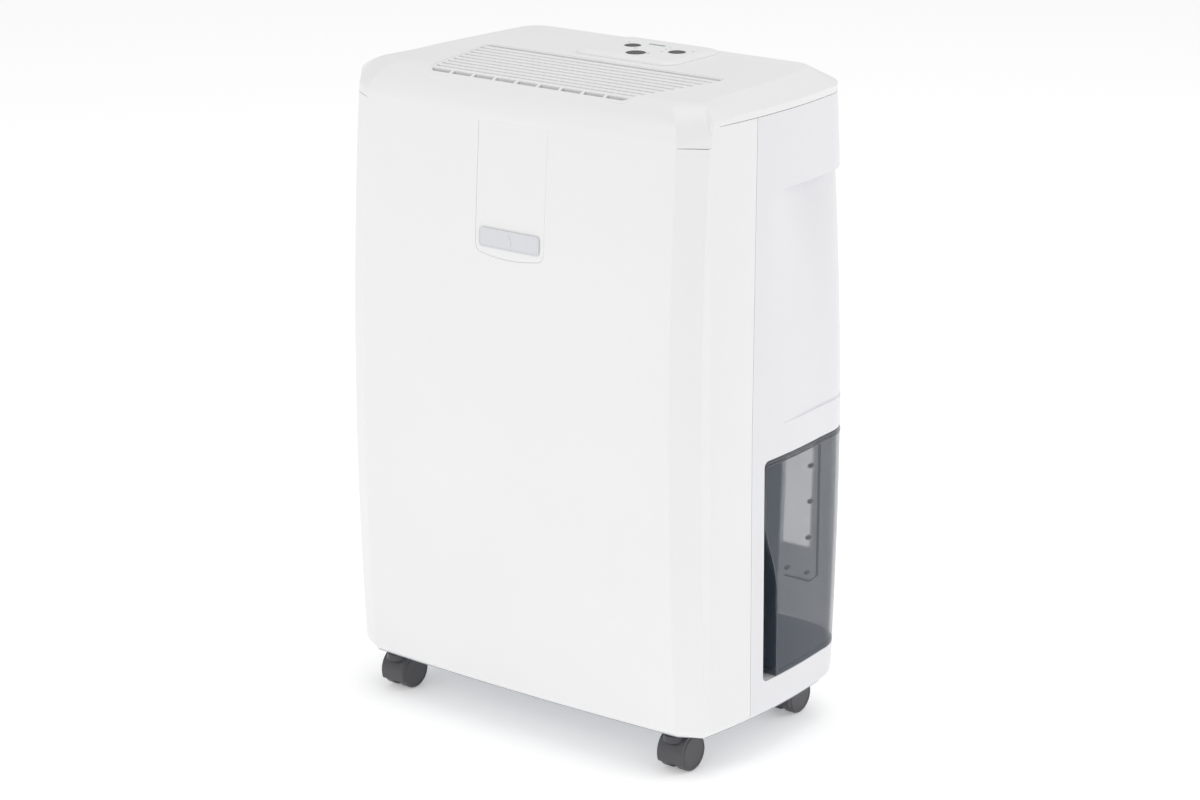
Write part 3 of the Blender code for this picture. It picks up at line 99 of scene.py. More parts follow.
# %% A moulded plastic
def moulded_plastic(name, hex_colour, roughness, grain_mm=0.35, bump=0.06, tint=0.02, ior=1.53):
    mat, shader = new_material(name, hex_colour, IOR=ior)
    tree = mat.node_tree
    place = add_node(tree, "ShaderNodeTexCoord").outputs["Object"]
    fine = add_node(tree, "ShaderNodeTexNoise", Vector=place, Scale=1.0 / (grain_mm * MM), Detail=2.0)
    broad = add_node(tree, "ShaderNodeTexNoise", Vector=place, Scale=9.0, Detail=3.0).outputs["Fac"]
    gloss = add_node(tree, "ShaderNodeMapRange", None, broad, 0.0, 1.0, roughness - 0.04, roughness + 0.05)
    base = linear(hex_colour)[:3]
    shades = add_node(tree, "ShaderNodeMix", {"data_type": "RGBA"}, Factor=broad,
                      A=(*[c * (1 - tint) for c in base], 1.0),
                      B=(*[min(1.0, c * (1 + tint)) for c in base], 1.0))
    relief = add_node(tree, "ShaderNodeBump", Height=fine.outputs["Fac"], Strength=bump, Distance=0.05 * MM)
    fill(shader, Roughness=gloss.outputs["Result"], Base_Color=shades.outputs["Result"],
         Normal=relief.outputs["Normal"])
    return mat


white_abs = moulded_plastic("white_abs_satin", "F1F1F1", 0.34)
cool_abs = moulded_plastic("cool_white_abs_satin", "EAEAED", 0.36)
charcoal_nylon = moulded_plastic("charcoal_nylon", "4A494D", 0.42, bump=0.15, tint=0.08)
charcoal_abs = moulded_plastic("charcoal_button_abs", "3A383D", 0.42, bump=0.05, tint=0.05)
grey_pp = moulded_plastic("grey_polypropylene", "A9ADB2", 0.5, tint=0.04)
black_pp = moulded_plastic("black_polypropylene", "232326", 0.5, tint=0.08)
foam = moulded_plastic("white_foamed_plastic", "EDEDE8", 0.7, grain_mm=1.6, bump=0.4)
print("plastics made")

# %% [markdown]
# ## Smoked polystyrene
# The tank is clear polystyrene with a grey-blue dye, polished in the mould. A refracting
# shader would be truest for one wall, but light then reaches the inside only by chance paths
# and stays noisy. The walls are thin and parallel, so straight see-through with a glossy coat
# gives the same look: alpha says how much dye a wall holds. The back wall has a clear,
# unfrosted window for reading the level, so alpha drops there.

# %% The tank's plastic
# The clear window's limits, and which side of each is inside.
WINDOW = (("X", 103.0, 1), ("X", 130.0, -1), ("Z", 124.0, 1), ("Z", 212.0, -1), ("Y", 85.0, 1))
WINDOW_BLUR = 1.2


def smoked_polystyrene(name, hex_colour, alpha, window_alpha=None):
    mat, shader = new_material(name, hex_colour, IOR=1.59, Roughness=0.08)
    tree = mat.node_tree
    place = add_node(tree, "ShaderNodeTexCoord").outputs["Object"]
    axes = add_node(tree, "ShaderNodeSeparateXYZ", Vector=place)
    haze = add_node(tree, "ShaderNodeTexNoise", Vector=place, Scale=22.0, Detail=2.0)
    dye = add_node(tree, "ShaderNodeMapRange", None, haze.outputs["Fac"], 0.0, 1.0,
                   alpha - 0.02, alpha + 0.02)
    amount = dye.outputs["Result"]
    if window_alpha is not None:
        inside = 1.0
        for axis, limit, sign in WINDOW:
            step = add_node(tree, "ShaderNodeMapRange", {"interpolation_type": "SMOOTHSTEP"},
                            axes.outputs[axis], (limit - sign * WINDOW_BLUR) * MM,
                            (limit + sign * WINDOW_BLUR) * MM)
            inside = add_node(tree, "ShaderNodeMath", {"operation": "MULTIPLY"},
                              step.outputs["Result"], inside).outputs[0]
        amount = add_node(tree, "ShaderNodeMix", {"data_type": "FLOAT"}, Factor=inside, A=amount,
                          B=window_alpha).outputs[0]
    fill(shader, Alpha=amount)
    return mat


smoke = smoked_polystyrene("smoked_polystyrene", "4C5662", 0.49, window_alpha=0.0)
lid_smoke = smoked_polystyrene("smoked_polystyrene_lid", "3E444D", 0.85)
lens_clear = smoked_polystyrene("clear_green_lens", "8FB7A6", 0.7)
print("tank window:", WINDOW)

# %% [markdown]
# ## Metals, boards and rubber
# Inside are drawn copper, thin aluminium fins, zinc-plated screws and black enamel. Metals
# keep the default IOR and differ by colour and roughness; a stretched noise gives the faint
# lines that drawing and rolling leave.

# %% Metals and the rest
def drawn_metal(name, hex_colour, roughness, stretch=(1.0, 1.0, 12.0)):
    mat, shader = new_material(name, hex_colour, Metallic=1.0)
    tree = mat.node_tree
    place = add_node(tree, "ShaderNodeTexCoord").outputs["Object"]
    lines = add_node(tree, "ShaderNodeMapping", Vector=place, Scale=stretch)
    noise = add_node(tree, "ShaderNodeTexNoise", Vector=lines.outputs["Vector"], Scale=400.0, Detail=3.0)
    gloss = add_node(tree, "ShaderNodeMapRange", None, noise.outputs["Fac"], 0.0, 1.0, roughness - 0.08,
                     roughness + 0.1)
    fill(shader, Roughness=gloss.outputs["Result"])
    return mat


copper = drawn_metal("drawn_copper", "B87350", 0.3)
zinc = drawn_metal("bright_zinc_plate", "B9BBBE", 0.28)
fin_stock = drawn_metal("aluminium_fin_stock", "C4C8CC", 0.35, (12.0, 1.0, 1.0))
silver_lacquer = moulded_plastic("silver_lacquer", "DCDDE1", 0.3, grain_mm=0.2, bump=0.03, tint=0.04)
enamel = moulded_plastic("black_stove_enamel", "1D1E20", 0.34, grain_mm=1.5, bump=0.08)
rubber = moulded_plastic("black_rubber", "1A1A1B", 0.72, bump=0.2, ior=1.52)
mask = moulded_plastic("green_solder_mask", "2B5F40", 0.4, grain_mm=2.0, bump=0.1, tint=0.1)
print("materials:", len(bpy.data.materials))

# %% [markdown]
# ## Making a finished piece
# Edges of moulded parts are never knife-sharp: a radius of a few tenths catches light and
# makes each joint line readable. Pieces are therefore drawn as plain surfaces, given wall
# thickness and a small bevel by modifiers, and baked to a plain mesh. Weighted normals keep
# the broad faces calm next to those small radii.

# %% From a drawing to a finished mesh
shop = bpy.context.scene.collection


def as_object(name, bm):
    bmesh.ops.transform(bm, matrix=Matrix.Scale(MM, 4), verts=bm.verts)
    mesh = bpy.data.meshes.new(name)
    bm.to_mesh(mesh)
    bm.free()
    obj = bpy.data.objects.new(name, mesh)
    shop.objects.link(obj)
    return obj


def attach(obj, body, nodes):
    """Say which body a piece rides on and which nodes it replaces."""
    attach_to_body(obj, body)
    if nodes:
        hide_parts(*nodes)
    return obj


def bake(obj, smooth=40.0):
    """Apply every modifier and leave a plain mesh at the origin."""
    graph = bpy.context.evaluated_depsgraph_get()
    mesh = bpy.data.meshes.new_from_object(obj.evaluated_get(graph))
    obj.modifiers.clear()
    obj.data = mesh
    mesh.shade_smooth()
    mesh.set_sharp_from_angle(angle=math.radians(smooth))
    return obj


def finished(name, bm, mat, body, nodes=(), wall=0.0, bevel=0.0, segments=2,
             limit=28.0, cutters=(), smooth=40.0):
    """Thickness, cuts, small radii, calm normals, material, and its place on the object."""
    bmesh.ops.recalc_face_normals(bm, faces=bm.faces)
    obj = as_object(name, bm)
    if wall:
        skin = obj.modifiers.new("wall", "SOLIDIFY")
        skin.thickness, skin.offset = wall * MM, -1.0
    for cutter in cutters:
        cut = obj.modifiers.new("cut", "BOOLEAN")
        cut.operation, cut.solver, cut.object = "DIFFERENCE", "EXACT", cutter
    if bevel:
        edge = obj.modifiers.new("edges", "BEVEL")
        edge.width, edge.segments = bevel * MM, segments
        edge.limit_method, edge.angle_limit = "ANGLE", math.radians(limit)
    bake(obj, smooth)
    if bevel:
        calm = obj.modifiers.new("calm", "WEIGHTED_NORMAL")
        calm.keep_sharp = True
        obj.data = bpy.data.meshes.new_from_object(
            obj.evaluated_get(bpy.context.evaluated_depsgraph_get()))
        obj.modifiers.clear()
    for cutter in cutters:
        bpy.data.objects.remove(cutter)
    obj.data.materials.clear()
    obj.data.materials.append(mat)
    return attach(obj, body, nodes)


def boolean(bm, others, operation):
    pieces = [as_object("part_%d" % k, shape) for k, shape in enumerate([bm, *others])]
    for other in pieces[1:]:
        step = pieces[0].modifiers.new("step", "BOOLEAN")
        step.operation, step.solver, step.object = operation, "EXACT", other
    graph = bpy.context.evaluated_depsgraph_get()
    result = bmesh.new()
    result.from_mesh(pieces[0].evaluated_get(graph).to_mesh())
    for piece in pieces:
        bpy.data.objects.remove(piece)
    bmesh.ops.transform(result, matrix=Matrix.Scale(1 / MM, 4), verts=result.verts)
    bmesh.ops.remove_doubles(result, verts=result.verts, dist=1e-3)
    return result


def cut(shape, *tools):
    return boolean(shape, tools, "DIFFERENCE")


def join(shape, *tools):
    return boolean(shape, tools, "UNION")


def common(shape, *tools):
    return boolean(shape, tools, "INTERSECT")


print("helpers ready")

# %% [markdown]
# ## Basic shapes
# Four shapes cover nearly everything: a box, a loft through rings, a turned profile and a
# straight extrusion of an outline. Round corners come from one function, so a radius is the
# same on every piece that uses it.

# %% Boxes, lofts and turned shapes
def box(low, high):
    low, high = Vector(low), Vector(high)
    bm = bmesh.new()
    place = Matrix.Translation((low + high) / 2) @ Matrix.Diagonal((*(high - low), 1.0))
    bmesh.ops.create_cube(bm, size=1.0, matrix=place)
    return bm


def loft(rings, caps=True, closed=True):
    bm = bmesh.new()
    loops = [[bm.verts.new(p) for p in ring] for ring in rings]
    count = len(loops[0])
    for lower, upper in zip(loops, loops[1:]):
        for i in range(count if closed else count - 1):
            j = (i + 1) % count
            bm.faces.new((lower[i], lower[j], upper[j], upper[i]))
    if caps:
        bm.faces.new(loops[0][::-1])
        bm.faces.new(loops[-1])
    bmesh.ops.recalc_face_normals(bm, faces=bm.faces)
    return bm


TURN = {"Z": Matrix.Identity(4), "X": Matrix.Rotation(math.pi / 2, 4, "Y"),
        "Y": Matrix.Rotation(-math.pi / 2, 4, "X")}


def turned(profile, centre, axis="Z", sides=48):
    """Turn (radius, height) points; a first or last radius of 0 closes that end."""
    place = Matrix.Translation(Vector(centre)) @ TURN[axis]
    bm = bmesh.new()
    rings = []
    for radius, height in profile:
        count = sides if radius > 0 else 1
        angles = [2 * math.pi * k / sides for k in range(count)]
        rings.append([bm.verts.new(place @ Vector((radius * math.cos(a), radius * math.sin(a), height)))
                      for a in angles])
    if profile[0][0] > 0:
        rings.append(rings[0])
    for first, second in zip(rings, rings[1:]):
        for i in range(sides):
            j = (i + 1) % sides
            corners = [first[i % len(first)], first[j % len(first)],
                       second[j % len(second)], second[i % len(second)]]
            unique = list(dict.fromkeys(corners))
            if len(unique) > 2:
                bm.faces.new(unique)
    bmesh.ops.recalc_face_normals(bm, faces=bm.faces)
    return bm


def rod(radius, low, high, centre, axis="Z", sides=48):
    return turned([(0, low), (radius, low), (radius, high), (0, high)], centre, axis, sides)


def extruded(outline, low, high, axis="Z"):
    place = {"Z": lambda a, b, h: (a, b, h), "Y": lambda a, b, h: (a, h, b),
             "X": lambda a, b, h: (h, a, b)}[axis]
    return loft([[place(a, b, h) for a, b in outline] for h in (low, high)])


def rounded(corners, radius, steps=8):
    points = []
    count = len(corners)
    for i in range(count):
        here = Vector(corners[i])
        before = (Vector(corners[i - 1]) - here).normalized()
        after = (Vector(corners[(i + 1) % count]) - here).normalized()
        half = before.angle(after) / 2
        centre = here + (before + after).normalized() * (radius / math.sin(half))
        start = here + before * radius / math.tan(half) - centre
        end = here + after * radius / math.tan(half) - centre
        first = math.atan2(start.y, start.x)
        sweep = (math.atan2(end.y, end.x) - first + math.pi) % (2 * math.pi) - math.pi
        points += [(centre.x + radius * math.cos(first + sweep * k / steps),
                    centre.y + radius * math.sin(first + sweep * k / steps))
                   for k in range(steps + 1)]
    return points


def rectangle(left, low, right, high, radius, steps=8):
    return rounded([(left, low), (right, low), (right, high), (left, high)], radius, steps)


print("shapes ready")

# %% [markdown]
# ## The cabinet's form
# The cabinet is a box whose front and back swell by 9 mm at mid-height, with a flat chamfer
# down each front corner, sides that lean in 4 mm, and large round rear corners. One function
# gives a point of that form, so every shell, seam and skin agrees to a hair. A point is
# found by its zone round the outline and its share of the way along that zone.

# %% One function for the cabinet's surface
BOTTOM_Z, TOP_Z, FRONT_SEAM_Z, SIDE_SEAM_Z = 34.0, 523.0, 494.0, 509.0
SHOULDER_Z = 514.5
HALF_WIDTH, HALF_DEPTH, SWELL, WALL = 179.0, 105.5, 9.3, 2.8
CHAMFER_Y = -88.3                     # where the chamfer meets the side, before the swell
CHAMFER_X, CHAMFER_BACK = 20.4, 13.2  # the chamfer's run across and backwards
FRONT_BULGE, SIDE_BULGE, LEAN = 4.0, 7.0, 4.0
SPLIT_Y = -40.0                       # joint between the front cover and the rear housing
REAR_R = 45.0
GRIP_LOW, GRIP_HIGH, GRIP_DEPTH = 266.0, 449.0, 16.0
BOTTOM_ROLL = 7.0


def swell(z):
    middle, half = (BOTTOM_Z + FRONT_SEAM_Z) / 2, (FRONT_SEAM_Z - BOTTOM_Z) / 2
    return SWELL * (1.0 - ((z - middle) / half) ** 2)


def half_width(z):
    return HALF_WIDTH - LEAN * (z - BOTTOM_Z) / (SIDE_SEAM_Z - BOTTOM_Z)


def smooth(low, high, value):
    t = max(0.0, min(1.0, (value - low) / (high - low)))
    return t * t * (3 - 2 * t)


def side_x(y, z):
    return half_width(z) - SIDE_BULGE * (y / CHAMFER_Y) ** 2


def form(zone, share, z):
    """A point (x, y) of the +X half. Shares on the side zone are depths in millimetres."""
    front = -(HALF_DEPTH + swell(z))
    back = HALF_DEPTH + swell(z)
    chamfer_x = half_width(z) - SIDE_BULGE
    if zone == "front":
        return (chamfer_x - CHAMFER_X) * share, front + FRONT_BULGE * share ** 2
    if zone == "chamfer":
        return chamfer_x - CHAMFER_X * (1 - share), front + FRONT_BULGE + CHAMFER_BACK * share
    if zone == "side":
        return side_x(share, z), share
    corner_y = back - REAR_R
    corner_x = side_x(HALF_DEPTH - REAR_R, z) - REAR_R
    if zone == "corner":
        turn = math.pi / 2 * share
        return corner_x + REAR_R * math.cos(turn), corner_y + REAR_R * math.sin(turn)
    return share, back


def grip(zone, share, z):
    """How deep the hand grip is at a place, deepest under its top edge."""
    if not GRIP_LOW < z < GRIP_HIGH:
        return 0.0
    rise = (z - GRIP_LOW) / (GRIP_HIGH - GRIP_LOW)
    depth = 1.5 + (GRIP_DEPTH - 1.5) * rise ** 1.6
    if zone == "side":
        return depth * smooth(-24.0, 46.0, share)
    return depth * 0.9 * (1.0 - smooth(0.0, 0.8, share)) if zone == "corner" else 0.0


FRONT_COLUMNS = [("front", k / 20) for k in range(21)]
CHAMFER_COLUMNS = [("chamfer", s) for s in (0.05, 0.25, 0.5, 0.75, 0.95, 1.0)]
CORNER_COLUMNS = [("corner", k / 16) for k in range(17)]


def leaned(column, z):
    """The joint at the split leans back a little in its upper half."""
    zone, share = column
    if zone == "side" and abs(share - SPLIT_Y) < 1.0:
        share += 4.0 * max(0.0, (z - 264.0) / 245.0)
    return zone, share


def place(column, z, inset=0.0, grips=True):
    """The surface point of a column at a height, optionally moved inwards."""
    zone, share = leaned(column, z)
    x, y = form(zone, share, z)
    depth = grip(zone, share, z) if grips else 0.0
    if zone == "corner":
        turn = math.pi / 2 * share
        return x - depth * math.cos(turn) - inset * math.cos(turn), y - inset * math.sin(turn)
    if zone == "side":
        return x - depth - inset, y
    if zone == "back":
        return x, y - inset
    if zone == "front":
        return x - inset * 0.3 * share, y + inset
    return x - inset * (0.3 + 0.7 * share), y + inset * (1.0 - share)


def roll_in(z):
    """The bottom edge turns under with a quarter round."""
    rise = max(0.0, BOTTOM_ROLL - (z - BOTTOM_Z))
    return BOTTOM_ROLL - math.sqrt(max(0.0, BOTTOM_ROLL ** 2 - rise ** 2))


def mirror(half):
    """Close a +X half (centre front to centre back) into a full loop."""
    return half + [(-p[0], *p[1:]) for p in reversed(half[1:-1])]


print("form at mid-height:", [round(v, 1) for v in form("front", 0.0, 264.0)])

# %% [markdown]
# ## Front cover
# One moulding makes the whole front, both chamfers and the first third of each side. It is
# drawn as a sheet of quads between its joint lines and then given its wall. The joint with
# the top cover runs at one height across the front and steps up behind each chamfer, so
# the last rows follow a curve instead of a level.

# %% The front cover
HALF_GAP = 0.22
SEAM_STEP = -87.5, -83.5              # where the joint under the top cover steps up
STEP_DEPTHS = -87.0, -86.2, -85.5, -84.8, -84.0, -83.0, -78.0, -68.0


def seam_z(y):
    """Height of the joint under the top cover at a depth."""
    return FRONT_SEAM_Z + (SIDE_SEAM_Z - FRONT_SEAM_Z) * smooth(*SEAM_STEP, y)


def heights(low, high, step=11.0, stops=()):
    """Evenly spaced heights that also include given stops."""
    marks = sorted({low, high, *[s for s in stops if low < s < high]})
    result = [marks[0]]
    for start, end in zip(marks, marks[1:]):
        count = max(1, round((end - start) / step))
        result += [start + (end - start) * k / count for k in range(1, count + 1)]
    return result


SIDE_FRONT = [("side", y) for y in (*STEP_DEPTHS, -58.0, -48.0, SPLIT_Y - HALF_GAP)]
ROLL_ROWS = [BOTTOM_Z + BOTTOM_ROLL * s for s in (0.0, 0.04, 0.14, 0.3, 0.5, 0.75)]


def front_sheet(low=BOTTOM_Z, offset=0.0):
    columns = FRONT_COLUMNS + CHAMFER_COLUMNS + SIDE_FRONT
    rows = ROLL_ROWS + heights(BOTTOM_Z + BOTTOM_ROLL, FRONT_SEAM_Z - 14.0)
    grid = []
    for z in rows:
        grid.append([(*place(c, z, roll_in(z) + offset), z) for c in columns])
    for share in (0.25, 0.5, 0.75, 1.0):
        ring = []
        for column in columns:
            y = place(column, FRONT_SEAM_Z)[1]
            z = FRONT_SEAM_Z - 14.0 + (seam_z(y) - HALF_GAP - FRONT_SEAM_Z + 14.0) * share
            ring.append((*place(column, min(z, SIDE_SEAM_Z), offset), z))
        grid.append(ring)
    whole = [[(-x, y, z) for x, y, z in reversed(ring[1:])] + ring for ring in grid]
    return loft(whole, caps=False, closed=False)


LABEL_HALF, LABEL_LOW, LABEL_DIP = 33.0, 393.0, 4.0


def label_outline(grow):
    half, low = LABEL_HALF + grow, LABEL_LOW - grow
    points = [(half, FRONT_SEAM_Z + 3.0), (-half, FRONT_SEAM_Z + 3.0)]
    corner = 5.0
    for k in range(33):
        share = -1.0 + k / 16
        edge = max(0.0, abs(share) * half - (half - corner)) / corner
        lift = corner * (1.0 - math.sqrt(max(0.0, 1.0 - edge ** 2)))
        points.append((half * share, low - LABEL_DIP * (1.0 - share ** 2) + lift))
    return points


def front_layer(outline, out, depth):
    """A plate on the front between two offsets of the surface, with a flat outline."""
    def solid(inset):
        rings = []
        for z in heights(370.0, FRONT_SEAM_Z, 8.0):
            half = [place(c, z, inset) for c in FRONT_COLUMNS]
            full = [(-x, y, z) for x, y in reversed(half[1:])] + [(x, y, z) for x, y in half]
            rings.append(full + [(150.0, -60.0, z), (-150.0, -60.0, z)])
        return loft(rings)

    return cut(common(extruded(outline, -130.0, -62.0, "Y"), solid(-out)), solid(depth))


pocket = as_object("pocket", front_layer(label_outline(0.12), 2.0, 1.0))
front_cover = finished("front_cover_shell", front_sheet(), white_abs, "cabinet", ["front_cover"],
                       wall=WALL, bevel=0.8, segments=3, cutters=[pocket])
print("front cover:", len(front_cover.data.polygons), "faces")

# %% [markdown]
# ## Label strip and badge
# A separate strip drops into a pocket on the front, with a fine groove round it and a lower
# edge that dips in the middle. On it sits a small lacquered plate. The plate is left plain
# but for a raised border and a water drop, the usual sign for a drying appliance.

# %% The label strip and its plate
strip = cut(front_layer(label_outline(0.0), 0.0, 0.9),
            box((-200, -200, FRONT_SEAM_Z - HALF_GAP), (200, 0, 600)))
finished("label_strip", strip, white_abs, "cabinet", ["front_label_panel"], bevel=0.35,
         limit=40.0)

BADGE = (-29.0, 396.5, 29.0, 411.5)


def badge_outline(shrink, radius):
    left, low, right, high = BADGE
    return rectangle(left + shrink, low + shrink, right - shrink, high - shrink, radius, 6)


drop = []
for k in range(48):
    turn = 2 * math.pi * k / 48
    pinch = math.sin(turn / 2) ** 1.6
    drop.append((3.1 * pinch * math.sin(turn), 404.3 + 4.4 * math.cos(turn)))

plate = cut(front_layer(badge_outline(0.0, 3.0), 1.3, -0.35),
            front_layer(badge_outline(1.1, 2.0), 2.0, -0.95))
finished("badge", plate, silver_lacquer, "cabinet", ["badge_plate"], bevel=0.15, limit=40.0)
finished("badge_drop", front_layer(drop, 1.25, -0.8), silver_lacquer, "cabinet",
         bevel=0.12, limit=50.0)
print("strip and badge made")

# %% [markdown]
# ## Rear housing
# The second large moulding wraps round the back from one joint line to the other, so the
# sides have no seam behind the split. It has openings for the tank and for the intake door,
# and a hand grip scooped out of each side: shallow at the bottom, 16 mm deep under a crisp
# top edge that the fingers pull against. Columns and rows are placed on the openings' edges
# so that the door opening is simply a set of quads left out. The tank opening has round
# corners, so it is cut.

# %% The rear housing
TANK_LOW, TANK_HIGH, TANK_FRONT_Y, TANK_REAR_X = 62.0, 241.0, -24.5, 100.0
DOOR_HALF, DOOR_LOW, DOOR_HIGH = 118.0, 262.0, 452.0
SIDE_REAR = [("side", y) for y in (SPLIT_Y + HALF_GAP, -32.0, TANK_FRONT_Y, *range(-20, 0, 5),
                                   *range(0, 18, 6), 18.0, *range(25, 54, 7))]
BACK = [("back", x) for x in (124.0, DOOR_HALF + 0.7, 109.0, TANK_REAR_X, 80.0, 60.0, 35.0, 15.0, 0.0)]


def rear_rows():
    stops = [TANK_LOW, TANK_HIGH, DOOR_LOW - 1.3, GRIP_LOW - 0.4, GRIP_LOW + 0.4, DOOR_HIGH + 0.7,
             GRIP_HIGH - 0.2, GRIP_HIGH + 0.6, FRONT_SEAM_Z]
    rows = [z for z in heights(BOTTOM_Z + BOTTOM_ROLL, SIDE_SEAM_Z - HALF_GAP, 8.0, stops)]
    return ROLL_ROWS + rows


def rear_sheet():
    columns = SIDE_REAR + CORNER_COLUMNS + BACK
    full = columns + columns[-2::-1]
    rows = rear_rows()
    bm = bmesh.new()
    grid = []
    for z in rows:
        ring = [(*place(c, z, roll_in(z)), z) for c in columns]
        ring += [(-x, y, z) for x, y, z in ring[-2::-1]]
        grid.append([bm.verts.new(p) for p in ring])
    for low, high, z0, z1 in zip(grid, grid[1:], rows, rows[1:]):
        middle = (z0 + z1) / 2
        for i in range(len(full) - 1):
            centre = sum((v.co for v in (low[i], low[i + 1], high[i], high[i + 1])), Vector()) / 4
            zone = full[i][0], full[i + 1][0]
            if DOOR_LOW - 1.3 < middle < DOOR_HIGH + 0.7 and zone == ("back", "back"):
                if abs(centre.x) < DOOR_HALF + 0.7:
                    continue
            bm.faces.new((low[i], low[i + 1], high[i + 1], high[i]))
    loose = [v for v in bm.verts if not v.link_faces]
    bmesh.ops.delete(bm, geom=loose, context="VERTS")
    return bm


def tank_block(shrink, left, radius):
    """The tank's corner of the cabinet as a block with round front edges."""
    low, front = TANK_LOW + shrink, TANK_FRONT_Y + shrink
    return extruded(rectangle(front, low, 300.0, TANK_HIGH - shrink, radius), left + shrink, 400.0, "X")


tank_opening = as_object("tank_opening", tank_block(0.0, TANK_REAR_X, 5.0))
rear = finished("rear_housing_shell", rear_sheet(), cool_abs, "cabinet", ["rear_housing"],
                wall=WALL, bevel=0.6, segments=3, cutters=[tank_opening])
print("rear housing:", len(rear.data.polygons), "faces")

# %% [markdown]
# ## Top cover
# The front rolls over into the top with a quarter ellipse, while the sides and the back rise
# to the flat plateau by narrow sloping facets. Both start from the same ring, so each ring
# is a blend of the two: all roll in front, all facet at the sides, and a mixture across the
# chamfers, where the two surfaces run into each other.

# %% The top cover
PLATEAU_FRONT_Y, PLATEAU_FRONT_HALF, PLATEAU_BOW = -80.0, 122.0, 2.0
PLATEAU_CORNER_Y, PLATEAU_CORNER_HALF = -72.0, 147.0
PLATEAU_REAR_Y, PLATEAU_REAR_HALF, PLATEAU_REAR_R = 94.0, 137.0, 18.0
BACK_HALF = 128.0                     # half the straight part of the back
FACET = [0.0, 0.03, 0.1, 0.22, 0.34, 0.46, 0.58, 0.7, 0.8, 0.88, 0.94, 0.975, 1.0]


def cap_columns():
    sides = [("side", y) for y in (*STEP_DEPTHS, -56.0, *range(-42, 43, 14), 54.0)]
    return FRONT_COLUMNS + CHAMFER_COLUMNS + sides + CORNER_COLUMNS + [
        ("back", x) for x in (100.0, 75.0, 50.0, 25.0, 0.0)]


def plateau_side(y):
    run = (y - PLATEAU_CORNER_Y) / (PLATEAU_REAR_Y - PLATEAU_CORNER_Y)
    return PLATEAU_CORNER_HALF - (PLATEAU_CORNER_HALF - PLATEAU_REAR_HALF) * run ** 2


def plateau(column):
    """Where a column arrives on the plateau, and how much of it is roll."""
    zone, share = column
    corner_y = PLATEAU_REAR_Y - PLATEAU_REAR_R
    if zone == "front":
        return PLATEAU_FRONT_HALF * share, PLATEAU_FRONT_Y + PLATEAU_BOW * share ** 2, 1.0
    if zone == "chamfer":
        x = PLATEAU_FRONT_HALF + (PLATEAU_CORNER_HALF - PLATEAU_FRONT_HALF) * share
        start = PLATEAU_FRONT_Y + PLATEAU_BOW
        y = start + (PLATEAU_CORNER_Y - start) * share
        return x, y, 1.0 - 0.25 * smooth(0.0, 1.0, share)
    if zone == "side":
        along = (share - CHAMFER_Y) / (HALF_DEPTH - REAR_R - CHAMFER_Y)
        y = PLATEAU_CORNER_Y + (corner_y - PLATEAU_CORNER_Y) * along
        return plateau_side(y), y, 0.75 * (1.0 - smooth(-88.0, -55.0, share))
    if zone == "corner":
        turn = math.pi / 2 * share
        return (plateau_side(corner_y) - PLATEAU_REAR_R * (1 - math.cos(turn)),
                corner_y + PLATEAU_REAR_R * math.sin(turn), 0.0)
    return share * (PLATEAU_REAR_HALF - PLATEAU_REAR_R) / BACK_HALF, PLATEAU_REAR_Y, 0.0


def cap_sheet():
    columns = cap_columns()
    rings = []
    for share in (0.0, 0.5):
        ring = []
        for column in columns:
            y = place(column, FRONT_SEAM_Z)[1]
            start = seam_z(y) + HALF_GAP
            blend = plateau(column)[2]
            end = FRONT_SEAM_Z * blend + SHOULDER_Z * (1.0 - blend)
            z = start + max(0.0, end - start) * share
            ring.append((*place(column, min(z, SIDE_SEAM_Z), 0.0, False), z))
        rings.append(ring)
    count = len(FACET) - 1
    for k, facet in enumerate(FACET):
        turn = math.pi / 2 * k / count
        ring = []
        for column in columns:
            x1, y1, blend = plateau(column)
            x0, y0 = place(column, FRONT_SEAM_Z, 0.0, False)
            sx, sy = place(column, SIDE_SEAM_Z, 0.0, False)
            base = max(FRONT_SEAM_Z, seam_z(y0)) + HALF_GAP + 0.4
            roll = 1.0 - math.cos(turn)
            rolled = (x0 + (x1 - x0) * roll, y0 + (y1 - y0) * roll, base + (TOP_Z - base) * math.sin(turn))
            sloped = (sx + (x1 - sx) * facet, sy + (y1 - sy) * facet,
                      SHOULDER_Z + (TOP_Z - SHOULDER_Z) * facet)
            ring.append(tuple(s + (r - s) * blend for s, r in zip(sloped, rolled)))
        rings.append(ring)
    inner = [(x * 0.985, y + (1.5 if y < 0 else -1.5), TOP_Z) for x, y, _ in rings[-1]]
    rings.append(inner)
    bm = loft([mirror(ring) for ring in rings], caps=False)
    bm.verts.ensure_lookup_table()
    loop = len(mirror(inner))
    bm.faces.new([bm.verts[i] for i in range(len(bm.verts) - loop, len(bm.verts))])
    return bm


GRILLE_FRONT_Y, GRILLE_BACK_Y, GRILLE_CORNER_R = -92.5, 8.0, 7.0
GRILLE_FRONT_HALF, GRILLE_BACK_HALF = 95.4, 117.0


def grille_outline(shrink):
    front, back = GRILLE_FRONT_HALF - shrink, GRILLE_BACK_HALF - shrink
    low, high = GRILLE_FRONT_Y + shrink, GRILLE_BACK_Y - shrink
    return rounded([(-front, low), (front, low), (back, high), (-back, high)],
                   max(1.0, GRILLE_CORNER_R - shrink), 8)


outlet = as_object("outlet_cut", extruded(grille_outline(0.0), 480.0, 560.0))
board_bay = as_object("bay_cut", box((-36, 24, 500), (48, 85, 560)))
cap = finished("top_cover_shell", cap_sheet(), white_abs, "cabinet", ["top_cover"],
               wall=WALL, bevel=0.5, segments=2, limit=32.0,
               cutters=[outlet, board_bay])
print("top cover:", len(cap.data.polygons), "faces")

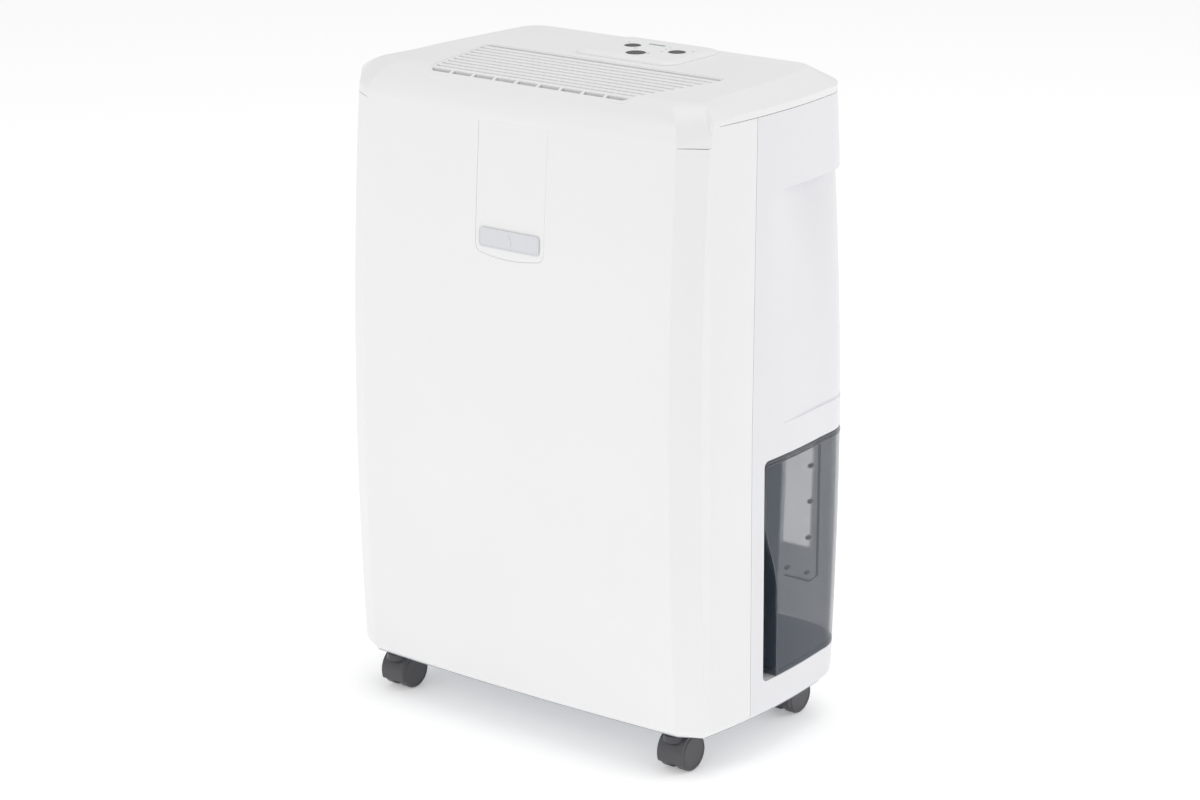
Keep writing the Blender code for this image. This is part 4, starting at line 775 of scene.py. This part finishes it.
# %% [markdown]
# ## Repeats with Geometry Nodes
# Slats, ribs, fins and wires are one shape repeated, so a node group does the repeating and
# its inputs say how many and how far apart. The group lines up points, instances the given
# shape on them, realizes the copies and sets their material. One more input curves the row:
# a rise that grows with the square of the distance from the middle follows the swelled back.

# %% A row of copies
def row_group():
    tree = bpy.data.node_groups.new("row_of_copies", "GeometryNodeTree")
    for name, kind in (("Count", "NodeSocketInt"), ("Start", "NodeSocketVector"),
                       ("Step", "NodeSocketVector"), ("Bow", "NodeSocketVector"),
                       ("First scale", "NodeSocketVector"), ("Last scale", "NodeSocketVector"),
                       ("Shape", "NodeSocketObject"), ("Material", "NodeSocketMaterial")):
        tree.interface.new_socket(name, in_out="INPUT", socket_type=kind)
    tree.interface.new_socket("Geometry", in_out="OUTPUT", socket_type="NodeSocketGeometry")
    given = tree.nodes.new("NodeGroupInput").outputs
    line = add_node(tree, "GeometryNodeMeshLine", Count=given["Count"], Start_Location=given["Start"],
                    Offset=given["Step"])
    index = add_node(tree, "GeometryNodeInputIndex").outputs[0]
    last = add_node(tree, "ShaderNodeMath", {"operation": "SUBTRACT"}, given["Count"], 1.0).outputs[0]
    share = add_node(tree, "ShaderNodeMath", {"operation": "DIVIDE"}, index, last).outputs[0]
    off = add_node(tree, "ShaderNodeMath", {"operation": "MULTIPLY_ADD"}, share, 2.0, -1.0).outputs[0]
    square = add_node(tree, "ShaderNodeMath", {"operation": "MULTIPLY"}, off, off)
    bend = add_node(tree, "ShaderNodeVectorMath", {"operation": "SCALE"}, Vector=given["Bow"],
                    Scale=square.outputs[0])
    placed = add_node(tree, "GeometryNodeSetPosition", Geometry=line.outputs[0],
                      Offset=bend.outputs[0])
    size = add_node(tree, "ShaderNodeMix", {"data_type": "VECTOR"}, Factor=share,
                    A=given["First scale"], B=given["Last scale"])
    shape = add_node(tree, "GeometryNodeObjectInfo", Object=given["Shape"])
    copies = add_node(tree, "GeometryNodeInstanceOnPoints", Points=placed.outputs[0],
                      Instance=shape.outputs["Geometry"], Scale=size.outputs[1])
    solid = add_node(tree, "GeometryNodeRealizeInstances", Geometry=copies.outputs[0])
    painted = add_node(tree, "GeometryNodeSetMaterial", Geometry=solid.outputs[0],
                       Material=given["Material"])
    out = tree.nodes.new("NodeGroupOutput")
    tree.links.new(painted.outputs[0], out.inputs["Geometry"])
    return tree


ROW = row_group()
SOCKET = {item.name: item.identifier for item in ROW.interface.items_tree
          if item.in_out == "INPUT"}


def row_of(name, shape, mat, body, count, start, step, bow=(0, 0, 0), first=(1, 1, 1),
           last=(1, 1, 1), nodes=()):
    """Repeat a shape drawn round the origin; lengths in millimetres."""
    unit = shape if isinstance(shape, bpy.types.Object) else as_object(name + "_unit", shape)
    host = bpy.data.objects.new(name, bpy.data.meshes.new(name))
    shop.objects.link(host)
    row = host.modifiers.new("row", "NODES")
    row.node_group = ROW
    values = {"Count": count, "Start": [v * MM for v in start], "Step": [v * MM for v in step],
              "Bow": [v * MM for v in bow], "First scale": first, "Last scale": last,
              "Shape": unit, "Material": mat}
    for key, value in values.items():
        row[SOCKET[key]] = value
    bake(host)
    bpy.data.objects.remove(unit)
    return attach(host, body, nodes)


print("row inputs:", list(SOCKET))

# %% [markdown]
# ## Air outlet
# Warm dry air leaves through long slats let into the top. The opening widens towards the
# back, so the slats grow from the front row to the rear one. They stand 5 mm deep: from a
# low angle one slat hides the dark duct behind the next, and only the front row, which sits
# on the roll of the cover, shows openings between its ribs.

# %% The outlet grille
GRILLE_ROWS, GRILLE_RIBS, SINK = 10, 8, 0.5
FIRST_RIB, RIB_STEP = (-73.5, 0.0, 0.0), (21.0, 0.0, 0.0)


def cap_z(y):
    """Height of the top cover along its middle."""
    if y >= PLATEAU_FRONT_Y:
        return TOP_Z
    share = min(1.0, (PLATEAU_FRONT_Y - y) / (PLATEAU_FRONT_Y + HALF_DEPTH))
    return FRONT_SEAM_Z + (TOP_Z - FRONT_SEAM_Z) * math.sqrt(1.0 - share ** 2)


def cap_layer(low_y, high_y, sink, thick, half=140.0):
    """A plate that follows the top cover between two depths."""
    steps = [low_y + (high_y - low_y) * (k / 40) ** 2 for k in range(41)]
    top = [(y, cap_z(y) - sink) for y in steps]
    return extruded(top + [(y, z - thick) for y, z in reversed(top)], -half, half, "X")


def half_at(y):
    share = (y - GRILLE_FRONT_Y) / (GRILLE_BACK_Y - GRILLE_FRONT_Y)
    return GRILLE_FRONT_HALF + (GRILLE_BACK_HALF - GRILLE_FRONT_HALF) * share


rim = common(cap_layer(-95.0, 12.0, SINK, 4.0), extruded(grille_outline(0.05), 470, 560))
rim = cut(rim, extruded(grille_outline(2.4), 470, 560))
finished("grille_rim", rim, white_abs, "cabinet", ["outlet_grille"], bevel=0.4)

first_y, last_y = -83.4, -0.4
profile = rounded([(-2.6, -5.2), (2.6, -5.2), (2.9, 0.0), (-2.9, 0.0)], 0.8, 4)
slat = extruded(profile, -1.0, 1.0, "X")
row_of("grille_slats", slat, white_abs, "cabinet", GRILLE_ROWS,
       (0.0, first_y, TOP_Z - SINK - 0.3), (0.0, (last_y - first_y) / (GRILLE_ROWS - 1), 0.0),
       first=(half_at(first_y) - 2.0, 1.0, 1.0), last=(half_at(last_y) - 2.5, 1.0, 1.0))

row_of("grille_front_ribs", cap_layer(-91.5, -83.5, SINK, 4.0, 1.3), white_abs, "cabinet",
       GRILLE_RIBS, FIRST_RIB, RIB_STEP)
row_of("grille_stay_ribs", box((-0.9, -84.0, TOP_Z - 10.0), (0.9, 5.0, TOP_Z - 5.4)), white_abs,
       "cabinet", GRILLE_RIBS, FIRST_RIB, RIB_STEP)
print("grille slats:", GRILLE_ROWS, "ribs:", GRILLE_RIBS)

# %% [markdown]
# ## Air duct
# Under the slats sits a closed black cup: painted shade for the dark inside of the fan's
# duct. Without it the slots would show the bright inside of the cover instead of shadow.

# %% The black cup of painted shade under the slats
# A closed black cup whose colour is painted shade for the duct's dark inside.
painted_shade = cut(extruded(grille_outline(1.0), 478.0, 511.0), extruded(grille_outline(3.0), 481.0, 520.0))
painted_shade = cut(painted_shade, cap_layer(-105.0, 20.0, -60.0, 67.5))
finished("duct_throat", painted_shade, black_pp, "cabinet")

# %% [markdown]
# ## Control panel
# A low pad behind the outlet carries three round buttons and a strip of indicator lamps. Its
# edges fall away with a wide soft bevel. Small grey marks beside the buttons stand for the
# printed signs; they are plain bars and dots, without any lettering.

# %% The panel, buttons and marks
PANEL_X, PANEL_HALF, PANEL_LOW, PANEL_HIGH, PANEL_TOP = 6.0, 48.0, 18.0, 91.0, TOP_Z + 3.2
BUTTONS = {"mode_button": (-11.0, 58.0, 13.0), "power_button": (8.5, 36.0, 15.5),
           "fan_speed_button": (33.0, 56.5, 13.5)}

rings = []
for k in range(13):
    turn = math.pi / 2 * k / 12
    shrink, z = 8.0 * (1 - math.cos(turn)), TOP_Z + 0.2 + 3.0 * math.sin(turn)
    outline = rectangle(PANEL_X - PANEL_HALF + shrink, PANEL_LOW + shrink,
                        PANEL_X + PANEL_HALF - shrink, PANEL_HIGH - shrink, 12.0 - shrink * 0.6, 10)
    rings.append([(x, y, z) for x, y in outline])
rings.insert(0, [(x, y, TOP_Z + 0.02) for x, y, _ in rings[0]])
wells = [as_object("well", rod(d / 2 + 0.3, 510.0, 540.0, (x, y, 0.0), sides=64))
         for x, y, d in BUTTONS.values()]
wells.append(as_object("lens_well", box((-4, 68.4, 510), (12, 71.6, 540))))
finished("panel_pad", loft(rings), white_abs, "cabinet", ["control_panel"],
         bevel=0.3, limit=40.0, cutters=wells)

for name, (x, y, diameter) in BUTTONS.items():
    r, low, crown = diameter / 2, TOP_Z - 2.5, PANEL_TOP + 0.35
    edge = [(r - 0.8 + 0.8 * math.sin(a), crown - 0.95 + 0.8 * math.cos(a))
            for a in (math.pi / 2 * (1 - k / 6) for k in range(7))]
    dish = [(r * 0.8, crown - 0.1), (r * 0.45, crown - 0.3), (0, crown - 0.38)]
    finished(name + "_cap", turned([(0, low), (r, low), *edge, *dish], (x, y, 0.0), sides=64),
             charcoal_abs, name, [name])

lamp_bar = extruded(rectangle(-3.6, 68.8, 11.6, 71.2, 0.8, 4), TOP_Z - 3.6, PANEL_TOP + 0.15)
finished("lamp_lens", lamp_bar, lens_clear, "cabinet", ["indicator_lens"], bevel=0.2)

ink, _ = new_material("grey_printing_ink", "8E8F96", Roughness=0.5)
marks = bmesh.new()
# Each mark: its middle across and in depth, its width and its depth.
MARKS = ((-2.5, 50.5, 3.2, 0.9), (-1.5, 47.9, 1.2, 0.8), (22.5, 50.7, 3.0, 0.9), (20.0, 60.0, 1.4, 1.4),
         (19.6, 66.5, 2.4, 0.9), (-20.5, 66.5, 2.6, 0.9), (18.0, 39.5, 1.2, 3.2), (42.0, 65.6, 2.4, 0.9))
for x, y, w, d in MARKS:
    part = extruded(rectangle(x - w / 2, y - d / 2, x + w / 2, y + d / 2, 0.35, 3), PANEL_TOP - 0.2,
                    PANEL_TOP + 0.03)
    mesh = bpy.data.meshes.new("mark")
    part.to_mesh(mesh)
    part.free()
    marks.from_mesh(mesh)
finished("panel_marks", marks, ink, "cabinet")
print("panel with", len(BUTTONS), "buttons")

# %% [markdown]
# ## Water tank
# The tank fills a corner of the cabinet: its outside continues the side and the rear corner,
# its front outer corner has a tall notch for the fingers. It is cut from the cabinet's own
# form, so it always lies flush. Walls are 2.6 mm, the floor is closed, the lid sits on top
# with a hole under the drip spout. A level frame and rivet dots are moulded on the rear wall.

# %% The tank and its lid
FAR = 400.0


def core(inset, low, high):
    """The cabinet's form as a closed solid, moved inwards."""
    columns = FRONT_COLUMNS + CHAMFER_COLUMNS + [("side", y) for y in (-70, -45, -20, 0, 15, 30, 45, 55)]
    columns += CORNER_COLUMNS + [("back", x) for x in (100.0, 60.0, 0.0)]
    rings = [mirror([(*place(c, z, inset, False), z) for c in columns]) for z in heights(low, high, 9.0)]
    return loft(rings)


def tank_solid(shrink, low, high):
    outer = common(core(shrink, low, high), tank_block(0.6 + shrink, TANK_REAR_X, 4.4))
    inner = common(core(WALL + 1.2 + shrink, low, high),
                   box((30.0 + shrink, -23.9 + shrink, low - 5),
                       (TANK_REAR_X + 6.6 + shrink, FAR, high + 5)))
    return join(outer, inner)


def notch_edge(grow):
    """Height and depth of the notch behind the tank's front, from the floor upwards."""
    edges = [(0.0, 17.0 + grow)]
    for k in range(25):
        swing = (1.0 - math.cos(math.pi * k / 24)) / 2
        edges.append((128.0 + 80.0 * k / 24, 17.0 + grow - (19.0 + grow) * swing))
    return edges


def notch(grow):
    """The finger notch: full depth low down, running out in an S towards its top."""
    x = half_width(TANK_LOW) - 11.0 - grow
    edges = notch_edge(grow)
    return loft([[(x, -60.0, z), (FAR, -60.0, z), (FAR, TANK_FRONT_Y + reach, z),
                  (x, TANK_FRONT_Y + reach, z)] for z, reach in edges])


LOW, RIM, TANK_WALL = TANK_LOW + 0.6, TANK_HIGH - 3.7, 2.6
shell = cut(tank_solid(0.0, LOW, RIM), notch(0.0))
room = cut(tank_solid(TANK_WALL, LOW + TANK_WALL, RIM + 2.0), notch(TANK_WALL))
tank = finished("tank_shell", cut(shell, room), smoke, "tank", ["water_tank"], bevel=0.4,
                limit=35.0)

lid = cut(tank_solid(0.0, RIM + 0.3, TANK_HIGH - 0.6), rod(12, 200, 260, (80, 60, 0)))
for y in (-4.3, 22.3):
    lid = join(lid, box((55, y, 219), (65, y + 2, RIM + 1.0)))
finished("tank_lid_plate", lid, lid_smoke, "tank", ["tank_lid"], bevel=0.4, limit=35.0)

ribbing, _ = new_material("thick_smoked_edge", "343A42", Roughness=0.2, IOR=1.59)
BEAD, PROUD = 1.5, 0.25
edge = [(max(TANK_FRONT_Y + reach, TANK_FRONT_Y + 0.7), max(z, LOW)) for z, reach in notch_edge(0.0)]
edge.append((TANK_FRONT_Y + 0.7, RIM))
ribbon = extruded(edge + [(y + BEAD, z) for y, z in reversed(edge)], 160.0, FAR, "X")
top_band = box((104.0, TANK_FRONT_Y + 0.7, RIM - BEAD), (FAR, FAR, RIM))
for label, strip in (("front", ribbon), ("top", top_band)):
    bead = cut(common(core(-PROUD, LOW - 4.0, RIM + 4.0), strip), core(-0.02, LOW - 9.0, RIM + 9.0))
    finished("tank_bead_" + label, bead, ribbing, "tank")
line = [(142.6, 228.0), (142.6, 106.0), (136.0, 100.0), (112.0, 100.0), (112.0, 98.8), (136.6, 98.8),
        (143.8, 105.4), (143.8, 228.0)]
finished("level_rib", extruded(line, 100.0, 102.6, "Y"), ribbing, "tank", bevel=0.3)
for k, (x, z) in enumerate(((135, 197), (135, 167), (134, 136), (133, 106), (114, 106))):
    stud = turned([(0, 99.5), (1.5, 99.5), (1.9, 100.2), (1.9, 103.0), (0, 103.0)], (x, 0, z), "Y", 24)
    finished("tank_stud_%d" % k, stud, ribbing, "tank")
print("tank shell:", len(tank.data.polygons), "faces")

# %% [markdown]
# ## Castors
# Each castor has two wheels on a cross axle under one hood. The hood is swept round the axle
# as a shallow channel, so its edges wrap the treads. The outer faces of the wheels carry a
# flat ring inside a bevel, the way a moulded nylon wheel is made.

# %% Hoods and wheels
WHEEL_R, TREAD, TRAIL = 15.0, 9.4, 10.0


def hood_shape(x, y):
    axle_y, axle_z = y + TRAIL, WHEEL_R
    inside, outside, half = 15.95, 17.4, 11.6
    section = [(-half, inside - 2.5), (-half, outside - 0.8), (-half + 0.8, outside), (half - 0.8, outside),
               (half, outside - 0.8), (half, inside - 2.5), (half - 0.9, inside - 2.5), (half - 0.9, inside),
               (-half + 0.9, inside), (-half + 0.9, inside - 2.5)]
    rings = []
    for k in range(41):
        turn = math.radians(-48 + 160 * k / 40)
        rings.append([(x + across, axle_y - r * math.sin(turn), axle_z + r * math.cos(turn))
                      for across, r in section])
    bm = loft(rings)
    web = []
    for k in range(25):
        turn = math.radians(-46 + 156 * k / 24)
        web.append((axle_y - 16.6 * math.sin(turn), axle_z + 16.6 * math.cos(turn)))
    web.append((axle_y, axle_z - 4.0))
    plate = extruded(web, x - 2.2, x + 2.2, "X")
    stem = turned([(0, BOTTOM_Z - 4), (4, BOTTOM_Z - 4), (4, 42.6), (3.4, 43.0), (0, 43.0)], (x, y, 0))
    collar = turned([(0, 26.5), (9.0, 26.5), (8.0, 31.0), (5.5, 32.6), (0, 32.6)], (x, y, 0))
    hub = rod(7, -2.3, 2.3, (x, axle_y, axle_z), "X")
    cleared = rod(inside - 0.3, -30, 30, (x, axle_y, axle_z), "X", 96)
    return join(bm, plate, hub, cut(collar, cleared), stem)


def wheel_profile(side):
    inner, outer, r = 2.9, 2.9 + TREAD, WHEEL_R
    points = [(0, inner + 0.4), (5.0, inner + 0.4), (5.6, inner), (r - 1.0, inner), (r - 0.3, inner + 0.3),
              (r, inner + 1.0), (r, outer - 2.0), (r - 0.25, outer - 1.3), (r - 1.5, outer - 0.2),
              (r - 2.0, outer), (r - 2.8, outer), (r - 3.1, outer - 0.35), (0, outer - 0.35)]
    return [(a, side * h) for a, h in points]


for depth, y in (("front", -88.0), ("rear", 58.0)):
    for across, x in (("left", -140.0), ("right", 140.0)):
        name = depth + "_" + across
        finished("hood_" + name, hood_shape(x, y), charcoal_nylon, "castor_" + name,
                 ["castor_hood_" + name], bevel=0.25, limit=45.0)
        for side, label in ((-1, "left"), (1, "right")):
            finished("wheel_%s_%s" % (name, label),
                     turned(wheel_profile(side), (x, y + TRAIL, WHEEL_R), "X", 96), charcoal_nylon,
                     "wheel_%s_%s" % (name, label), ["castor_wheel_%s_%s" % (name, label)],
                     smooth=30.0)
print("castors: 4, wheels: 8")

# %% [markdown]
# ## Intake door, filter and coil
# Room air enters at the back through a louvred door that tilts out for cleaning its filter.
# The louvres are blades set at an angle, so they shed dust and hide the coil. Behind them
# lie a net in a frame, and the finned evaporator.

# %% The rear intake
DOOR_ROWS = 15


def door_sheet():
    xs = [-DOOR_HALF, -107.0, -38.5, -34.5, 34.5, 38.5, 107.0, DOOR_HALF]
    rows = heights(DOOR_LOW, DOOR_HIGH, 9.5, (273.0, 441.0))
    bm = bmesh.new()
    grid = [[bm.verts.new((x, HALF_DEPTH + swell(z), z)) for x in xs] for z in rows]
    for low, high, z0, z1 in zip(grid, grid[1:], rows, rows[1:]):
        for i in range(len(xs) - 1):
            if 273.0 < (z0 + z1) / 2 < 441.0 and i in (1, 3, 5):
                continue
            bm.faces.new((low[i + 1], low[i], high[i], high[i + 1]))
    bmesh.ops.delete(bm, geom=[v for v in bm.verts if not v.link_faces], context="VERTS")
    return bm


finished("door_frame", door_sheet(), cool_abs, "intake", ["intake_door"], wall=WALL, bevel=0.6)
low_z, high_z = 279.0, 435.0
mid_y = HALF_DEPTH + swell((low_z + high_z) / 2) - 2.0
end_y = (swell(low_z) + swell(high_z)) / 2 + HALF_DEPTH - 2.0
slope_y = (swell(high_z) - swell(low_z)) / (DOOR_ROWS - 1)
BLADE = (-1.6, -4.4), (-0.2, -5.0), (1.6, 4.4), (0.2, 5.0)
for k, (x, half) in enumerate(((-72.75, 34.4), (0.0, 34.6), (72.75, 34.4))):
    unit = extruded(BLADE, -half, half, "X")
    row_of("door_blades_%d" % k, unit, cool_abs, "intake", DOOR_ROWS,
           (x, mid_y - slope_y * (DOOR_ROWS - 1) / 2, low_z),
           (0, slope_y, (high_z - low_z) / (DOOR_ROWS - 1)), bow=(0, end_y - mid_y, 0))

wire = box((-0.2, -0.2, -86.0), (0.2, 0.2, 86.0))
row_of("filter_wires_up", wire, black_pp, "intake", 74, (-109.5, 97.8, 357.0), (3.0, 0, 0),
       nodes=["filter_mesh"])
wire = box((-109.5, -0.2, -0.2), (109.5, 0.2, 0.2))
row_of("filter_wires_across", wire, black_pp, "intake", 57, (0, 97.4, 273.0), (0, 0, 3.0))
fin = box((-0.1, -14.0, -93.0), (0.1, 14.0, 93.0))
row_of("evaporator_fins", fin, fin_stock, "cabinet", 94, (-116.0, 76.0, 360.0),
       (2.5, 0, 0), nodes=["evaporator"])
tube = rod(3.6, -118.0, 118.0, (0, 0, 0), "X", 20)
row_of("evaporator_tubes", tube, copper, "cabinet", 9, (0, 76.0, 277.0), (0, 0, 20.6))
print("door blades:", 3 * DOOR_ROWS)

# %% [markdown]
# ## Screws and cord gland
# Five cross-head screws hold the rear housing, each a pan head with a rounded rim. The flex
# leaves through a rubber gland near the foot; the flex itself is not part of this model.

# %% Rear fastenings
for number, (x, z) in enumerate(((-110, 482), (110, 482), (-110, 48), (0, 48), (110, 48)), 1):
    face = HALF_DEPTH + swell(z) + 0.35
    head = [(0, -8.0), (1.5, -7.0), (1.5, 0.0), (3.7, 0.0), (4.0, 0.3), (4.0, 0.9), (3.5, 1.7), (2.2, 2.15),
            (0, 2.25)]
    shape = turned(head, (x, face, z), "Y", 40)
    cross = join(box((x - 2.1, face + 0.9, z - 0.4), (x + 2.1, face + 5, z + 0.4)),
                 box((x - 0.4, face + 0.9, z - 2.1), (x + 0.4, face + 5, z + 2.1)))
    finished("screw_%d" % number, cut(shape, cross), zinc, "cabinet", ["case_screw_%d" % number])
face = HALF_DEPTH + swell(84.0) + 0.9
ring = [(3.6, -9.0), (8.0, -9.0), (8.0, 0.0), (10.6, 0.0), (11.0, 0.5), (11.0, 1.4), (10.2, 2.8), (9.0, 3.4),
        (5.0, 3.6), (3.9, 3.2), (3.6, 2.6)]
finished("gland", turned(ring, (-110, face, 84.0), "Y", 56), rubber, "cabinet", ["cord_gland"])
print("screws: 5")

# %% [markdown]
# ## Finishes for the pieces kept from the model
# Pieces inside the cabinet keep their modelled shapes, which are right in size and simple in
# life too: a pan, a bay, a fan, a pump. Each gets the material its maker would use.

# %% Materials for the inner pieces
INNER = {
    "base_pan": grey_pp, "drip_tray": grey_pp, "fan_scroll": grey_pp, "tank_bay": cool_abs,
    "tank_float": foam, "filter_frame": black_pp, "compressor": enamel, "accumulator": enamel,
    "compressor_grommet_1": rubber, "compressor_grommet_2": rubber, "compressor_grommet_3": rubber,
    "discharge_pipe": copper, "suction_pipe": copper, "condenser": fin_stock, "fan_motor": zinc,
    "fan_shaft": zinc, "fan_wheel": black_pp, "control_board": mask, "power_board": mask,
    "humidity_sensor": mask, "run_capacitor": foam, "tank_switch": black_pp,
    "castor_axle_front_left": zinc, "castor_axle_front_right": zinc, "castor_axle_rear_left": zinc,
    "castor_axle_rear_right": zinc,
}
for node, mat in INNER.items():
    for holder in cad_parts[node].material_slots:
        holder.material = mat
print("inner pieces with their own material:", len(INNER))

# %% [markdown]
# ## Camera, floor and light
# A long lens from a little above and to the right flattens the perspective. Three large soft
# sources and a bright surround keep a white object white, with only a gentle fall of tone
# from the front to the side.

# %% The studio
AZIMUTH, ELEVATION, DISTANCE = 0.65256, 0.30033, 2.6295
back = Vector((math.sin(AZIMUTH) * math.cos(ELEVATION), -math.cos(AZIMUTH) * math.cos(ELEVATION),
               math.sin(ELEVATION)))
right = Vector((math.cos(AZIMUTH), math.sin(AZIMUTH), 0.0))
up = back.cross(right)
aim = Vector((0.0, 0.0135, 0.264)) - right * 0.00736 - up * 0.01522
lens = bpy.data.cameras.new("camera")
lens.lens, lens.sensor_width = 99.24, 36.0
camera = bpy.data.objects.new("camera", lens)
shop.objects.link(camera)
camera.matrix_world = Matrix.Translation(aim + back * DISTANCE) @ Matrix(
    (right, up, back)).transposed().to_4x4()
bpy.context.scene.camera = camera

floor_paint, floor_shader = new_material("pale_studio_floor", "FFFFFF", Roughness=0.9,
                                         Emission_Strength=0.28)
floor_shader.inputs["Emission Color"].default_value = (1.0, 1.0, 1.0, 1.0)
floor = as_object("studio_floor", box((-6000, -6000, -20), (6000, 6000, 0)))
floor.data.materials.append(floor_paint)

world = bpy.data.worlds.new("studio")
bpy.context.scene.world = world
world.use_nodes = True
world.node_tree.nodes["Background"].inputs["Color"].default_value = (1.0, 1.0, 1.0, 1.0)
world.node_tree.nodes["Background"].inputs["Strength"].default_value = 0.63


def soft_light(name, position, target, size, power):
    data = bpy.data.lights.new(name, "AREA")
    data.shape, data.size, data.size_y, data.energy = "RECTANGLE", size[0], size[1], power
    lamp = bpy.data.objects.new(name, data)
    shop.objects.link(lamp)
    lamp.location = position
    lamp.rotation_euler = (Vector(target) - Vector(position)).to_track_quat("-Z", "Y").to_euler()


soft_light("key", (-0.6, -2.6, 1.9), (0.0, 0.0, 0.3), (1.6, 1.6), 14.0)
soft_light("side", (1.8, 1.35, 1.6), (0.1, 0.0, 0.3), (1.4, 1.4), 9.0)
soft_light("overhead", (0.2, 0.3, 2.4), (0.0, 0.0, 0.4), (1.8, 1.8), 9.0)
bpy.context.scene.view_settings.view_transform = "Standard"
print("camera at", [round(v, 3) for v in camera.location])
